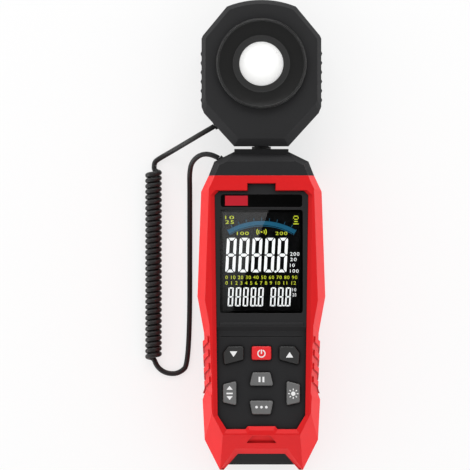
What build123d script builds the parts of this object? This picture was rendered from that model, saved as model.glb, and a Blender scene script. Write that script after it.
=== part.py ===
from build123d import *
import os
from math import cos, pi, radians, sin, sqrt, tan

os.makedirs("parts", exist_ok=True)

# A hand-held lux meter lying on its back, in millimetres: X across, Y towards the head, Z out of the face

# Walls: a soft jacket over a hard shell, with a hard cap above the border
border_drop = 9.7
jacket_wall = 2.2
shell_wall = 2.0
back_recess = 0.8
back_lip = 5.0
back_band = 3.4
fit_gap = 0.15
cut_overrun = 1.0

# Battery bay with three cells and a door in the back: the cells set the body's width and depth
cell_diameter = 10.5
cell_length = 43.7
cell_nub_diameter = 3.8
cell_nub_length = 0.8
cell_pitch_gap = 0.2
cell_count = 3
cell_gap = 0.3
bay_wall = 1.2
bay_side_gap = 0.15
bay_side_room = 1.1
bay_foot_rise = 11.2
spring_depth = 3.0
spring_strip = 0.3
spring_width = 5.0
spring_rise = 3.2
contact_plate = 0.5
door_thick = 1.8
door_ledge = 0.8
door_gap = 0.2
door_tongue_length = 6.0
door_tongue_width = 11.0
door_tab_width = 3.0
door_tab_height = 2.0
door_tab_thick = 1.0
door_tab_inset = 7.0
door_grip_count = 4
door_grip_drop = 3.0
door_grip_pitch = 1.6
door_grip_length = 12.0
door_grip_width = 0.7
door_grip_depth = 0.5
door_screw_length = 8.0
door_screw_head = 1.1
cell_pitch = cell_diameter + cell_pitch_gap
cell_axis_height = back_recess + door_thick + cell_gap + cell_diameter / 2
bay_width = (cell_count - 1) * cell_pitch + cell_diameter + 2 * bay_side_gap
bay_length = cell_length + cell_nub_length + spring_depth + contact_plate
bay_ceiling = cell_axis_height + cell_diameter / 2 + cell_gap

# Whole meter: depths are stacked from the back, lengths from the display, strip and keypad
waist_share = 0.863
bay_head_room = 2.6
side_rise = 4.5
front_rise = 14.0
strip_margin = 1.5
strip_length = 5.0
strip_gap = 1.3
window_length = 42.0
window_foot_margin = 5.6
keypad_length = 41.9
panel_drop = 16.0
panel_foot_margin = 16.9
flank_width = 7.05
head_length = 59.8
head_width = 49.0
head_depth = 23.0
head_below_parting = 11.5
collar_height = 1.2
collar_width = 22.2
head_gap = 1.2
bay_half = bay_width / 2 + bay_wall + bay_side_room
body_width = 2 * (bay_half + shell_wall + jacket_wall) / waist_share
parting_height = bay_ceiling + bay_wall + bay_head_room
side_top_height = parting_height + side_rise
body_depth = side_top_height + front_rise
bezel_length = strip_margin + strip_length + strip_gap + window_length + window_foot_margin
panel_length = bezel_length + keypad_length
body_length = panel_drop + panel_length + panel_foot_margin
total_length = body_length + collar_height + head_gap + head_length
foot_y = -total_length / 2
body_top_y = foot_y + body_length
collar_top_y = body_top_y + collar_height
head_foot_y = collar_top_y + head_gap
head_top_y = head_foot_y + head_length
bay_foot_y = foot_y + bay_foot_rise
bay_top_y = bay_foot_y + bay_length
door_top_y = bay_top_y + door_ledge
door_foot_y = bay_foot_y - door_ledge
door_width = bay_width + 2 * door_ledge
door_tab_pitch = cell_length - 2 * door_tab_inset

# Body outline, left side from top to foot, as shares of half the width and of the length above the foot
body_outline_shares = (
    (0.431, 1.0),
    (0.737, 0.9697),
    (0.824, 0.9255),
    (0.943, 0.8748),
    (1.0, 0.5453),
    (0.897, 0.4309),
    (waist_share, 0.2550),
    (0.919, 0.2212),
    (0.887, 0.0952),
    (0.649, 0.0),
)
front_bevel = 3.2
front_bevel_shares = (0.69, 0.73, 0.75, 1.0, 0.88, 0.75, 0.88, 1.12, 2.4)
foot_bevel_share = 4.56
top_bevel_share = 1.19
back_bevel = 2.5
back_bevel_height = 4.0
seam_bevel = 0.3
bezel_sunk = 1.4
keypad_sunk = 2.6
bezel_height = body_depth - bezel_sunk
keypad_height = body_depth - keypad_sunk
border_y = body_top_y - border_drop
front_wall_height = keypad_height - shell_wall
back_wall_height = back_recess + shell_wall

# Panel opening in the jacket, right side from top to foot, as shares of half its width and of its length
panel_outline_shares = (
    (0.292, 1.03),
    (0.292, 1.0),
    (0.91, 1.0),
    (1.0, 0.982),
    (0.966, 0.499),
    (0.935, 0.0586),
    (0.75, 0.0),
    (0.345, 0.0),
    (0.29, 0.0123),
)
panel_bevel = 1.7
panel_bevel_shares = (0.18, 0.18, 0.7, 1.0, 1.0, 1.0, 1.0, 1.0)
panel_top_bevel_share = 0.18
panel_bevel_depth = 1.4
panel_gap = 0.15
bezel_slope = 2.0
panel_width = body_width - 2 * flank_width
panel_top_y = body_top_y - panel_drop
panel_foot_y = panel_top_y - panel_length
bezel_foot_y = panel_top_y - bezel_length

# Notch between the feet, as shares of the body's width, and the thumb recess above it
notch_top_share = 0.3664
notch_foot_share = 0.6221
notch_length = 6.7
notch_bevel = 2.2
notch_side_bevel = 1.2
notch_bevel_depth = 1.5
thumb_top_width = 7.4
thumb_foot_width = 12.2
thumb_drop = 0.5
thumb_length = 4.2
thumb_depth = 0.9
notch_top_width = body_width * notch_top_share
notch_foot_width = body_width * notch_foot_share

# Grip ribs on both flanks
grip_count = 4
grip_pitch = 5.45
grip_width = 2.4
grip_height = 0.7
grip_lean = 5.0
grip_top_share = 0.412
grip_end_clear = 2.0

# Display window, label strip, and the ridge and groove under the window
window_side_margin = 2.35
window_thick = 1.1
window_sunk = 0.2
window_ledge = 0.9
window_corner = 1.2
strip_side_margin = 2.55
strip_depth = 0.4
strip_thick = 0.35
strip_corner = 1.0
ridge_rise = 0.9
ridge_width = 1.6
ridge_height = 0.35
groove_drop = 4.1
groove_width = 0.4
groove_depth = 0.25
window_width = panel_width - 2 * window_side_margin
strip_width = panel_width - 2 * strip_side_margin
strip_y = panel_top_y - strip_margin - strip_length / 2
window_y = strip_y - strip_length / 2 - strip_gap - window_length / 2
window_seat = bezel_height - window_sunk - window_thick
ridge_y = bezel_foot_y + ridge_rise
groove_y = bezel_foot_y - groove_drop

# Display and boards behind the face
lcd_thick = 2.8
lcd_margin = 0.6
holder_thick = 2.2
holder_inset = 1.4
zebra_width = 1.2
board_thick = 1.6
board_post = 3.0
board_post_margin = 2.6
board_side_margin = 2.95
board_top_margin = 2.0
board_foot_overrun = 0.7
board_width = panel_width - 2 * board_side_margin
board_top_y = panel_top_y - board_top_margin
board_foot_y = panel_foot_y - board_foot_overrun
board_length = board_top_y - board_foot_y
lcd_back = front_wall_height - lcd_thick
board_top = lcd_back - holder_thick
board_bottom = board_top - board_thick

# Keys: outlines as shares of the pad's half width and of its length below the first row
pad_top_margin = 8.1
pad_foot_margin = 5.8
key_outline_shares = {
    "key_down": ((-0.71, 0.0), (-0.385, 0.0), (-0.385, 0.193), (-0.8, 0.268), (-0.823, 0.099)),
    "key_power": ((-0.208, 0.0), (0.208, 0.0), (0.208, 0.196), (-0.208, 0.196)),
    "key_up": ((0.71, 0.0), (0.385, 0.0), (0.385, 0.193), (0.8, 0.268), (0.823, 0.099)),
    "key_hold": ((-0.19, 0.38), (0.19, 0.38), (0.257, 0.573), (-0.257, 0.573)),
    "key_mode": ((-0.257, 0.792), (0.257, 0.792), (0.197, 0.99), (-0.197, 0.99)),
    "key_range": ((-0.826, 0.555), (-0.54, 0.505), (-0.54, 0.86), (-0.826, 0.815)),
    "key_unit": ((0.826, 0.555), (0.54, 0.505), (0.54, 0.86), (0.826, 0.815)),
}
key_corner = 0.7
key_proud = 1.2
key_edge = 0.25
key_gap = 0.25
key_flange = 0.6
key_flange_thick = 0.8
key_stem = 2.6
key_travel = 0.8
contact_width = 4.0
contact_thick = 0.3
contact_gap = 0.05
mat_sheet = 0.8
mat_skirt = 1.0
mat_gap = 0.3
mat_inset = 0.2
mat_overlap = 2.0
pad_width = panel_width - 2 * panel_gap
pad_length = keypad_length - pad_top_margin - pad_foot_margin
pad_y = bezel_foot_y - pad_top_margin
mat_width = board_width - 2 * mat_inset
mat_length = pad_length + 2 * mat_overlap
key_stem_foot = board_top + contact_thick + contact_gap + key_travel
mat_top = front_wall_height - key_flange_thick - key_travel - mat_gap
mat_y = pad_y - pad_length / 2

# Neck: a keyed plug held in the body's socket, with a journal that the head turns on
neck_diameter = 7.8
neck_plug_length = 11.0
neck_key_width = 1.4
neck_key_height = 0.7
neck_fit = 0.1
journal_diameter = 6.0
journal_fit = 0.1
journal_length = 11.4
journal_lead = 0.2
clip_groove = 0.5
clip_thick = 0.8
clip_diameter = 9.0
clip_mouth = 3.6
clip_gap = 0.05
socket_wall = 1.6
socket_floor = 1.5
boss_block_wall = 1.8
bearing_length = 9.6
bearing_wall = 2.4
collar_depth = 16.0
socket_radius = neck_diameter / 2 + neck_fit + socket_wall
neck_block = socket_radius + neck_fit + boss_block_wall
socket_foot_y = collar_top_y - neck_plug_length - socket_floor - head_gap / 4
plug_foot_y = collar_top_y - neck_plug_length
shoulder_y = head_foot_y - journal_lead
bearing_top_y = head_foot_y + bearing_length

# Sensor head outline, left side from top to foot, as shares of half its width and of its length
head_outline_shares = (
    (0.4845, 1.0),
    (0.977, 0.756),
    (1.0, 0.735),
    (1.0, 0.268),
    (0.959, 0.227),
    (0.455, 0.0),
)
head_crown_radius = 37.8
head_bevel = 1.6
head_bevel_height = 2.0
head_bevel_shares = (1.0, 1.0, 1.0, 1.62, 2.12)
head_foot_bevel_share = 1.94
head_rib_count = 6
head_rib_top_share = 0.6321
head_rib_foot_share = 0.3144
head_rib_radius = 1.2
head_rib_sides = 8
head_rib_proud = 0.4
head_back_height = parting_height - head_below_parting
head_front = head_back_height + head_depth
head_crown_y = head_top_y - head_crown_radius

# Sensor: a ring with a funnel round a white dome
ring_drop = 26.1
ring_radius = 18.5
ring_proud = 3.6
ring_rim = 1.0
ring_seat = 1.2
ring_edge = 0.5
funnel_radius = 11.6
funnel_sunk = 1.6
ring_wall = 1.6
ring_skirt_radius = 15.6
ring_fit = 0.1
dome_radius = 8.93
dome_rise = 6.4
dome_flange = 1.2
dome_flange_thick = 1.2
filter_radius = 6.0
filter_thick = 1.2
diode_radius = 4.6
diode_height = 1.6
sensor_board_thick = 1.2
sensor_board_width = 22.0
sensor_post = 2.6
sensor_post_pitch = 18.4
ring_y = head_top_y - ring_drop
ring_top = head_front + ring_proud
funnel_floor = head_front - funnel_sunk
dome_seat = funnel_floor - ring_wall
dome_foot = dome_seat - dome_flange_thick
filter_foot = dome_foot - filter_thick
diode_foot = filter_foot - diode_height

# Screws, with square posts round their holes, at shares of half the width and of the length above the foot
screw_diameter = 2.5
screw_sides = 12
screw_head_overhang = 0.95
screw_head_height = 1.9
screw_sunk = 2.3
screw_bite = 5.5
screw_fit = 0.1
post_width = 5.2
post_front_depth = 7.5
head_screw_bite = 6.7
housing_screw_shares = ((0.5344, 0.9462), (0.4008, 0.0568))
head_screw_shares = ((0.5959, 0.8127), (0.7102, 0.2943))
housing_seat = back_recess + screw_sunk + screw_head_height
head_seat = head_back_height + screw_sunk + screw_head_height
screw_length = parting_height - housing_seat + screw_bite
head_screw_length = parting_height - head_seat + head_screw_bite

# Small parts on the main board
buzzer_radius = 4.5
buzzer_height = 3.4
buzzer_drop = 8.0
chip_width = 9.0
chip_thick = 1.4
chip_place_shares = ((-0.45, 0.72), (0.4, 0.62), (-0.1, 0.42), (0.45, 0.24))

# Curly cord: wire, coil, and its two leads. A route gives how far out from the body's side, how far below
# the body's top, and how high each point lies, on the surface where the height is half the wire
cord_diameter = 2.0
cord_sides = 4
cord_height = cord_diameter / 2
coil_diameter = 7.1
coil_turns = 27.5
coil_end_length = 2.0
coil_lead_length = 2.6
coil_out = 18.2
coil_join_top_drop = 7.0
coil_join_foot_drop = 83.6
grommet_diameter = 3.2
grommet_length = 3.2
grommet_proud = 0.5
grommet_fit = 0.05
head_exit_share = 0.7673
head_exit_rise = 8.4
head_exit_way = (-0.912, -0.41, 0)
head_exit_run = 4.8
head_lead_steps = (
    (3.2, -5.6, 13.6),
    (8.7, -3.2, 6.6),
    (12.4, -1.6, 2.3),
    (16.2, -0.1, cord_height),
    (coil_out, 3.4, cord_height),
    (coil_out, coil_join_top_drop, cord_height),
)
body_exit_share = 0.6527
body_exit_drop = 2.85
body_exit_way = (-0.75, 0.661, 0)
body_exit_run = 4.9
body_lead_steps = (
    (-0.9, -0.6, 15.7),
    (2.3, 3.0, 12.0),
    (3.3, 8.4, 7.2),
    (3.2, 14.6, 3.0),
    (3.2, 22.0, cord_height),
    (3.2, 88.0, cord_height),
    (5.8, 91.5, cord_height),
    (10.7, 92.9, cord_height),
    (15.6, 91.5, cord_height),
    (coil_out, 88.0, cord_height),
    (coil_out, coil_join_foot_drop, cord_height),
)
side_x = -body_width / 2
coil_x = side_x - coil_out
coil_join_top_y = body_top_y - coil_join_top_drop
coil_join_foot_y = body_top_y - coil_join_foot_drop
head_exit = (-head_exit_share * head_width / 2, head_foot_y + head_exit_rise, parting_height)
body_exit = (body_exit_share * side_x, body_top_y - body_exit_drop, parting_height)
head_lead_route = [(side_x - out, body_top_y - drop, height) for out, drop, height in head_lead_steps]
body_lead_route = [(side_x - out, body_top_y - drop, height) for out, drop, height in body_lead_steps]


def outline(shares, half_width, length, foot):
    """The left side's points from top to foot, then the right side's back up."""
    left = [(-x * half_width, foot + y * length) for x, y in shares]
    return left + [(-x, y) for x, y in reversed(left)]


def mirrored(left, foot, top):
    """One value for each side of an outline: left side, foot, right side, top."""
    return [*left, foot, *reversed(left), top]


def inset(points, distances):
    """The outline with each side moved inwards by its own distance, which keeps the facets flat."""
    sides = []
    for start, end, distance in zip(points, points[1:] + points[:1], distances):
        along = (Vector(*end) - Vector(*start)).normalized()
        inward = Vector(-along.Y, along.X)
        sides.append((Vector(*start) + inward * distance, along))
    corners = []
    for (before, along), (here, onward) in zip(sides[-1:] + sides[:-1], sides):
        reach = (here - before).cross(onward).Z / along.cross(onward).Z
        corner = before + along * reach
        corners.append((corner.X, corner.Y))
    return corners


def faceted(*sections):
    """A solid with flat facets, through outlines at their heights."""
    rings = [[(x, y, height) for x, y in points] for height, points in sections]
    faces = [Face(Wire.make_polygon(rings[0][::-1])), Face(Wire.make_polygon(rings[-1]))]
    for low, high in zip(rings, rings[1:]):
        for start, end, above_end, above_start in zip(low, low[1:] + low[:1], high[1:] + high[:1], high):
            faces.append(Face(Wire.make_polygon([start, end, above_end, above_start])))
    return Solid(Shell(faces))


def prism(points, low, high):
    """A straight solid between two heights."""
    return faceted((low, points), (high, points))


def body_section(height, wall=0.0):
    """The body's outline at a height, behind a wall of some thickness."""
    front_share = max(height - side_top_height, 0) / (body_depth - side_top_height)
    back_share = max(back_bevel_height - height, 0) / back_bevel_height
    shares = mirrored(front_bevel_shares, foot_bevel_share, top_bevel_share)
    distances = [wall + front_bevel * share * front_share + back_bevel * back_share for share in shares]
    return height, inset(body_outline, distances)


def head_section(height, wall=0.0):
    """The head's outline at a height, behind a wall of some thickness."""
    front_share = max(height - head_front + head_bevel_height, 0) / head_bevel_height
    back_share = max(head_back_height + head_bevel_height - height, 0) / head_bevel_height
    shares = mirrored(head_bevel_shares, head_foot_bevel_share, 1)
    distances = [wall + head_bevel * (share * front_share + back_share) for share in shares]
    return height, inset(head_outline, distances)


def crowned(solid, low, high, wall=0.0, bevel_low=0.0, bevel_high=0.0):
    """A head solid cut to the round of its top, bevelled along its lower or upper edge."""
    radius = head_crown_radius - wall
    profile = [
        (0, low),
        (radius - bevel_low, low),
        (radius, low + (head_bevel_height if bevel_low else 0)),
        (radius, high - (head_bevel_height if bevel_high else 0)),
        (radius - bevel_high, high),
        (0, high),
    ]
    points = [point for at, point in enumerate(profile) if point not in profile[:at]]
    with BuildPart() as cut:
        with BuildSketch(Plane(origin=(0, head_crown_y, 0), x_dir=(1, 0, 0), z_dir=(0, -1, 0))):
            with BuildLine():
                Polyline(*points, close=True)
            make_face()
        revolve(axis=Axis((0, head_crown_y, 0), (0, 0, 1)))
        add(solid, mode=Mode.INTERSECT)
    return cut.part


def placed(shares, half_width, length, foot):
    """Places on the right side, from shares of half the width and of the length above the foot."""
    return [(x * half_width, foot + y * length) for x, y in shares]


def both_sides(places):
    """Each place and its mirror image across the middle."""
    return [(side * x, y) for x, y in places for side in (-1, 1)]


def posts(places, low, high, inside):
    """Square screw posts between two heights, kept inside a solid."""
    with BuildPart() as group:
        with BuildSketch(Plane.XY.offset(low)):
            with Locations(*places):
                Rectangle(post_width, post_width)
        extrude(amount=high - low)
        add(inside, mode=Mode.INTERSECT)
    return group.part


def bores(places, diameter, low, high):
    """Screw holes between two heights, many-sided round their diameter."""
    with BuildPart() as group:
        with BuildSketch(Plane.XY.offset(low)):
            with Locations(*places):
                RegularPolygon(diameter / 2, screw_sides, major_radius=False)
        extrude(amount=high - low)
    return group.part


def screws(places, seat, head_height, length):
    """Pan-head screws driven towards the face, their heads on the back side of the seat."""
    with BuildPart() as group:
        with BuildSketch(Plane.XY.offset(seat)):
            with Locations(*places):
                RegularPolygon(screw_diameter / 2 + screw_head_overhang, screw_sides)
        extrude(amount=-head_height)
        with BuildSketch(Plane.XY.offset(seat)):
            with Locations(*places):
                RegularPolygon(screw_diameter / 2, screw_sides)
        extrude(amount=length)
    return group.part


def disc(y, radius, low, high):
    """A plain round piece on the middle line."""
    with BuildPart() as piece:
        with BuildSketch(Plane.XY.offset(low)):
            with Locations((0, y)):
                Circle(radius)
        extrude(amount=high - low)
    return piece.part


def box(width, low_y, high_y, low, high):
    """A plain block, used for walls, pockets and flat pieces."""
    with BuildPart() as block:
        with BuildSketch(Plane.XY.offset(low)):
            with Locations((0, (low_y + high_y) / 2)):
                Rectangle(width, high_y - low_y)
        extrude(amount=high - low)
    return block.part


def neck_plane(y):
    """A plane across the neck's axis, facing the head."""
    return Plane(origin=(0, y, parting_height), x_dir=(1, 0, 0), z_dir=(0, 1, 0))


def save(part, name):
    """Label a finished piece and write its file."""
    part.label = name
    export_step(part, f"parts/{name}.step")


body_outline = outline(body_outline_shares, body_width / 2, body_length, foot_y)
head_outline = outline(head_outline_shares, head_width / 2, head_length, head_foot_y)
seam_outline = inset(body_outline, [seam_bevel] * len(body_outline))
head_seam_outline = inset(head_outline, [seam_bevel] * len(head_outline))
border_plane = Plane(origin=(0, border_y, 0), z_dir=(0, 1, 0))

# Envelopes of the two halves, the cores under the jackets and the hollows inside them
front_envelope = faceted(
    (parting_height, seam_outline),
    (parting_height + seam_bevel, body_outline),
    (side_top_height, body_outline),
    body_section(body_depth),
)
rear_envelope = faceted(
    body_section(0),
    (back_bevel_height, body_outline),
    (parting_height - seam_bevel, body_outline),
    (parting_height, seam_outline),
)
front_core = faceted(
    body_section(parting_height, jacket_wall),
    body_section(side_top_height, jacket_wall),
    body_section(keypad_height, jacket_wall),
)
rear_core = faceted(
    body_section(back_recess, jacket_wall),
    body_section(back_bevel_height, jacket_wall),
    body_section(parting_height, jacket_wall),
)
front_hollow = faceted(
    body_section(parting_height, jacket_wall + shell_wall),
    body_section(side_top_height, jacket_wall + shell_wall),
    body_section(front_wall_height, jacket_wall + shell_wall),
)
rear_hollow = faceted(
    body_section(back_wall_height, jacket_wall + shell_wall),
    body_section(back_bevel_height, jacket_wall + shell_wall),
    body_section(parting_height, jacket_wall + shell_wall),
)
grip_envelope = faceted(
    body_section(back_bevel_height, -grip_height),
    body_section(side_top_height, -grip_height),
    body_section(body_depth, -grip_height),
)

# Slanted slabs that the grip ribs are cut from
grip_low = back_bevel_height + grip_end_clear
grip_high = body_depth - grip_end_clear
grip_top_y = foot_y + body_length * grip_top_share
with BuildPart() as grip_ribs:
    with BuildSketch(Plane.YZ.offset(-body_width)):
        for rib in range(grip_count):
            rib_y = grip_top_y - rib * grip_pitch
            with BuildLine():
                Polyline(
                    (rib_y - grip_width / 2 - grip_lean, grip_low),
                    (rib_y + grip_width / 2 - grip_lean, grip_low),
                    (rib_y + grip_width / 2, grip_high),
                    (rib_y - grip_width / 2, grip_high),
                    close=True,
                )
            make_face()
    extrude(amount=2 * body_width)
    add(grip_envelope, mode=Mode.INTERSECT)

panel_outline = outline(panel_outline_shares, panel_width / 2, panel_length, panel_foot_y)
panel_cutter = prism(panel_outline, keypad_height - cut_overrun, body_depth)
panel_bevels = [-panel_bevel * share for share in mirrored(panel_bevel_shares, 1, panel_top_bevel_share)]
panel_bevel_cutter = faceted(
    (body_depth - panel_bevel_depth, panel_outline),
    (body_depth, inset(panel_outline, panel_bevels)),
)
back_opening = inset(body_outline, [back_lip] * len(body_outline))

# Notch between the feet, with a bevel on the sloping face above it, and the thumb recess
foot_rise = body_depth - side_top_height
foot_run = front_bevel * foot_bevel_share
foot_slope = sqrt(foot_rise**2 + foot_run**2)
slope_plane = Plane(
    origin=(0, foot_y, side_top_height), x_dir=(1, 0, 0), z_dir=(0, -foot_rise, foot_run)
)
notch_outline = (
    (-notch_foot_width / 2, foot_y - cut_overrun),
    (notch_foot_width / 2, foot_y - cut_overrun),
    (notch_top_width / 2, foot_y + notch_length),
    (-notch_top_width / 2, foot_y + notch_length),
)
notch_deep_top = (notch_length * foot_slope - notch_bevel_depth * foot_rise) / foot_run
notch_surface_top = (notch_length + notch_bevel) * foot_slope / foot_run
thumb_top = foot_slope - thumb_drop
with BuildPart() as slope_cutter:
    with BuildSketch(slope_plane.offset(-notch_bevel_depth)):
        Polygon(
            (-notch_foot_width / 2, -cut_overrun),
            (notch_foot_width / 2, -cut_overrun),
            (notch_top_width / 2, notch_deep_top),
            (-notch_top_width / 2, notch_deep_top),
            align=None,
        )
    with BuildSketch(slope_plane):
        Polygon(
            (-notch_foot_width / 2 - notch_side_bevel, -cut_overrun),
            (notch_foot_width / 2 + notch_side_bevel, -cut_overrun),
            (notch_top_width / 2 + notch_side_bevel, notch_surface_top),
            (-notch_top_width / 2 - notch_side_bevel, notch_surface_top),
            align=None,
        )
    loft(ruled=True)
    with BuildSketch(slope_plane.offset(-thumb_depth)):
        Polygon(
            (-thumb_foot_width / 2, thumb_top - thumb_length),
            (thumb_foot_width / 2, thumb_top - thumb_length),
            (thumb_top_width / 2, thumb_top),
            (-thumb_top_width / 2, thumb_top),
            align=None,
        )
    extrude(amount=thumb_depth + cut_overrun)
notch_cutter = prism(notch_outline, -cut_overrun, body_depth)

with BuildPart() as front_bumper:
    add(front_envelope)
    add(grip_ribs.part)
    split(bisect_by=Plane.XY.offset(parting_height), keep=Keep.TOP)
    split(bisect_by=border_plane, keep=Keep.BOTTOM)
    add(front_core, mode=Mode.SUBTRACT)
    add(panel_cutter, mode=Mode.SUBTRACT)
    add(panel_bevel_cutter, mode=Mode.SUBTRACT)
    add(notch_cutter, mode=Mode.SUBTRACT)
    add(slope_cutter.part, mode=Mode.SUBTRACT)

with BuildPart() as back_cutter:
    add(prism(back_opening, -cut_overrun, back_wall_height))
    split(bisect_by=Plane(origin=(0, border_y - back_band, 0), z_dir=(0, 1, 0)), keep=Keep.BOTTOM)

with BuildPart() as rear_bumper:
    add(rear_envelope)
    add(grip_ribs.part)
    split(bisect_by=Plane.XY.offset(parting_height), keep=Keep.BOTTOM)
    split(bisect_by=border_plane, keep=Keep.BOTTOM)
    add(rear_core, mode=Mode.SUBTRACT)
    add(back_cutter.part, mode=Mode.SUBTRACT)
    add(notch_cutter, mode=Mode.SUBTRACT)

# Solids that the two hard shells are cut from: the core, with the cap above the border
with BuildPart() as front_solid:
    add(front_envelope)
    split(bisect_by=border_plane, keep=Keep.TOP)
    add(front_core)

with BuildPart() as rear_solid:
    add(rear_envelope)
    split(bisect_by=border_plane, keep=Keep.TOP)
    add(rear_core)

# Neck: collar and socket block on the body, with the bore for the socket
with BuildPart() as neck_boss:
    with BuildSketch(neck_plane(border_y)):
        Rectangle(collar_width, collar_depth)
    extrude(amount=collar_top_y - border_y)
    with BuildSketch(neck_plane(socket_foot_y - boss_block_wall)):
        Rectangle(2 * neck_block, 2 * neck_block)
    extrude(amount=body_top_y - socket_foot_y)

with BuildPart() as neck_bore:
    with BuildSketch(neck_plane(socket_foot_y)):
        Circle(socket_radius + neck_fit)
    extrude(amount=collar_top_y - socket_foot_y)

# Cord grommets: a bore in each housing, and the grommet in it
body_exit_plane = Plane(origin=body_exit, z_dir=body_exit_way)
head_exit_plane = Plane(origin=head_exit, z_dir=head_exit_way)
with BuildPart() as grommet_bores:
    for plane in (body_exit_plane, head_exit_plane):
        with BuildSketch(plane.offset(grommet_proud - grommet_length)):
            Circle(grommet_diameter / 2 + grommet_fit)
        extrude(amount=grommet_length + cut_overrun)

# Front shell, with the bezel round the display and the key holes
housing_places = both_sides(placed(housing_screw_shares, body_width / 2, body_length, foot_y))
pilot_top = housing_seat + screw_length + screw_fit
bezel_outline = inset(panel_outline, [panel_gap] * len(panel_outline))
with BuildPart() as bezel:
    add(prism(bezel_outline, keypad_height - cut_overrun, bezel_height))
    with BuildSketch(Plane.YZ.offset(-panel_width)):
        with BuildLine():
            Polyline(
                (panel_foot_y - cut_overrun, bezel_height + cut_overrun),
                (panel_foot_y - cut_overrun, keypad_height - 2 * cut_overrun),
                (bezel_foot_y - bezel_slope, keypad_height - 2 * cut_overrun),
                (bezel_foot_y - bezel_slope, keypad_height),
                (bezel_foot_y, bezel_height),
                (bezel_foot_y, bezel_height + cut_overrun),
                close=True,
            )
        make_face()
    extrude(amount=2 * panel_width, mode=Mode.SUBTRACT)
    with BuildSketch(Plane.YZ.offset(-window_width / 2)):
        with BuildLine():
            Polyline(
                (ridge_y - ridge_width / 2, bezel_height),
                (ridge_y - ridge_width / 4, bezel_height + ridge_height),
                (ridge_y + ridge_width / 4, bezel_height + ridge_height),
                (ridge_y + ridge_width / 2, bezel_height),
                close=True,
            )
        make_face()
    extrude(amount=window_width)

key_outlines = {
    name: [(x * pad_width / 2, pad_y - y * pad_length) for x, y in shares]
    for name, shares in key_outline_shares.items()
}
key_places = {
    name: (sum(x for x, y in points) / len(points), sum(y for x, y in points) / len(points))
    for name, points in key_outlines.items()
}
with BuildPart() as key_holes:
    for points in key_outlines.values():
        with BuildSketch(Plane.XY.offset(front_wall_height - cut_overrun)) as key_hole:
            Polygon(*points, align=None)
            offset(amount=key_gap, kind=Kind.INTERSECTION)
            fillet(key_hole.vertices(), key_corner + key_gap)
        extrude(amount=shell_wall + 2 * cut_overrun)

board_post_x = board_width / 2 - board_post_margin
board_places = both_sides(
    ((board_post_x, board_top_y - board_post_margin), (board_post_x, board_foot_y + board_post_margin))
)
with BuildPart() as board_posts:
    with BuildSketch(Plane.XY.offset(board_top)):
        with Locations(*board_places):
            Rectangle(board_post, board_post)
    extrude(amount=front_wall_height - board_top)

with BuildPart() as front_shell:
    add(front_solid.part)
    add(front_hollow, mode=Mode.SUBTRACT)
    add(posts(housing_places, parting_height, parting_height + post_front_depth, front_solid.part))
    add(neck_boss.part)
    split(bisect_by=Plane.XY.offset(parting_height), keep=Keep.TOP)
    add(board_posts.part)
    add(bezel.part)
    add(neck_bore.part, mode=Mode.SUBTRACT)
    add(grommet_bores.part, mode=Mode.SUBTRACT)
    add(bores(housing_places, screw_diameter + screw_fit, parting_height, pilot_top), mode=Mode.SUBTRACT)
    with BuildSketch(Plane.XY.offset(window_seat)):
        with Locations((0, window_y)):
            RectangleRounded(window_width + 2 * fit_gap, window_length + 2 * fit_gap, window_corner)
    extrude(amount=window_thick + window_sunk + cut_overrun, mode=Mode.SUBTRACT)
    with BuildSketch(Plane.XY.offset(front_wall_height - cut_overrun)):
        with Locations((0, window_y)):
            Rectangle(window_width - 2 * window_ledge, window_length - 2 * window_ledge)
    extrude(amount=shell_wall + 2 * cut_overrun, mode=Mode.SUBTRACT)
    with BuildSketch(Plane.XY.offset(bezel_height - strip_depth)):
        with Locations((0, strip_y)):
            RectangleRounded(strip_width + 2 * fit_gap, strip_length + 2 * fit_gap, strip_corner + fit_gap)
    extrude(amount=strip_depth + cut_overrun, mode=Mode.SUBTRACT)
    with BuildSketch(Plane.XY.offset(keypad_height - groove_depth)):
        with Locations((0, groove_y)):
            Rectangle(window_width, groove_width)
    extrude(amount=groove_depth, mode=Mode.SUBTRACT)
    add(key_holes.part, mode=Mode.SUBTRACT)

# Battery bay, open to the back, and the pocket for its door
door_inner_height = back_recess + door_thick
door_screw_place = ((0, door_top_y + door_tongue_length / 2),)
door_screw_seat = back_recess + door_screw_head
door_screw_top = door_screw_seat + door_screw_length
with BuildPart() as bay_block:
    add(
        box(
            bay_width + 2 * bay_wall,
            bay_foot_y - bay_wall,
            bay_top_y + bay_wall,
            0,
            bay_ceiling + bay_wall,
        )
    )
    add(
        box(
            door_tongue_width + 2 * bay_wall,
            door_top_y,
            door_top_y + door_tongue_length + door_gap + bay_wall,
            0,
            door_inner_height + bay_wall,
        )
    )
    add(posts(door_screw_place, 0, door_screw_top + bay_wall, rear_solid.part))
    add(rear_solid.part, mode=Mode.INTERSECT)

with BuildPart() as bay_space:
    add(box(bay_width, bay_foot_y, bay_top_y, -cut_overrun, bay_ceiling))
    add(
        box(
            door_width + 2 * door_gap,
            door_foot_y - door_gap,
            door_top_y + door_gap,
            -cut_overrun,
            door_inner_height,
        )
    )
    add(
        box(
            door_tongue_width + 2 * door_gap,
            door_top_y,
            door_top_y + door_tongue_length + door_gap,
            -cut_overrun,
            door_inner_height,
        )
    )
    add(bores(door_screw_place, screw_diameter + screw_fit, door_inner_height, door_screw_top + screw_fit))

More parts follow.
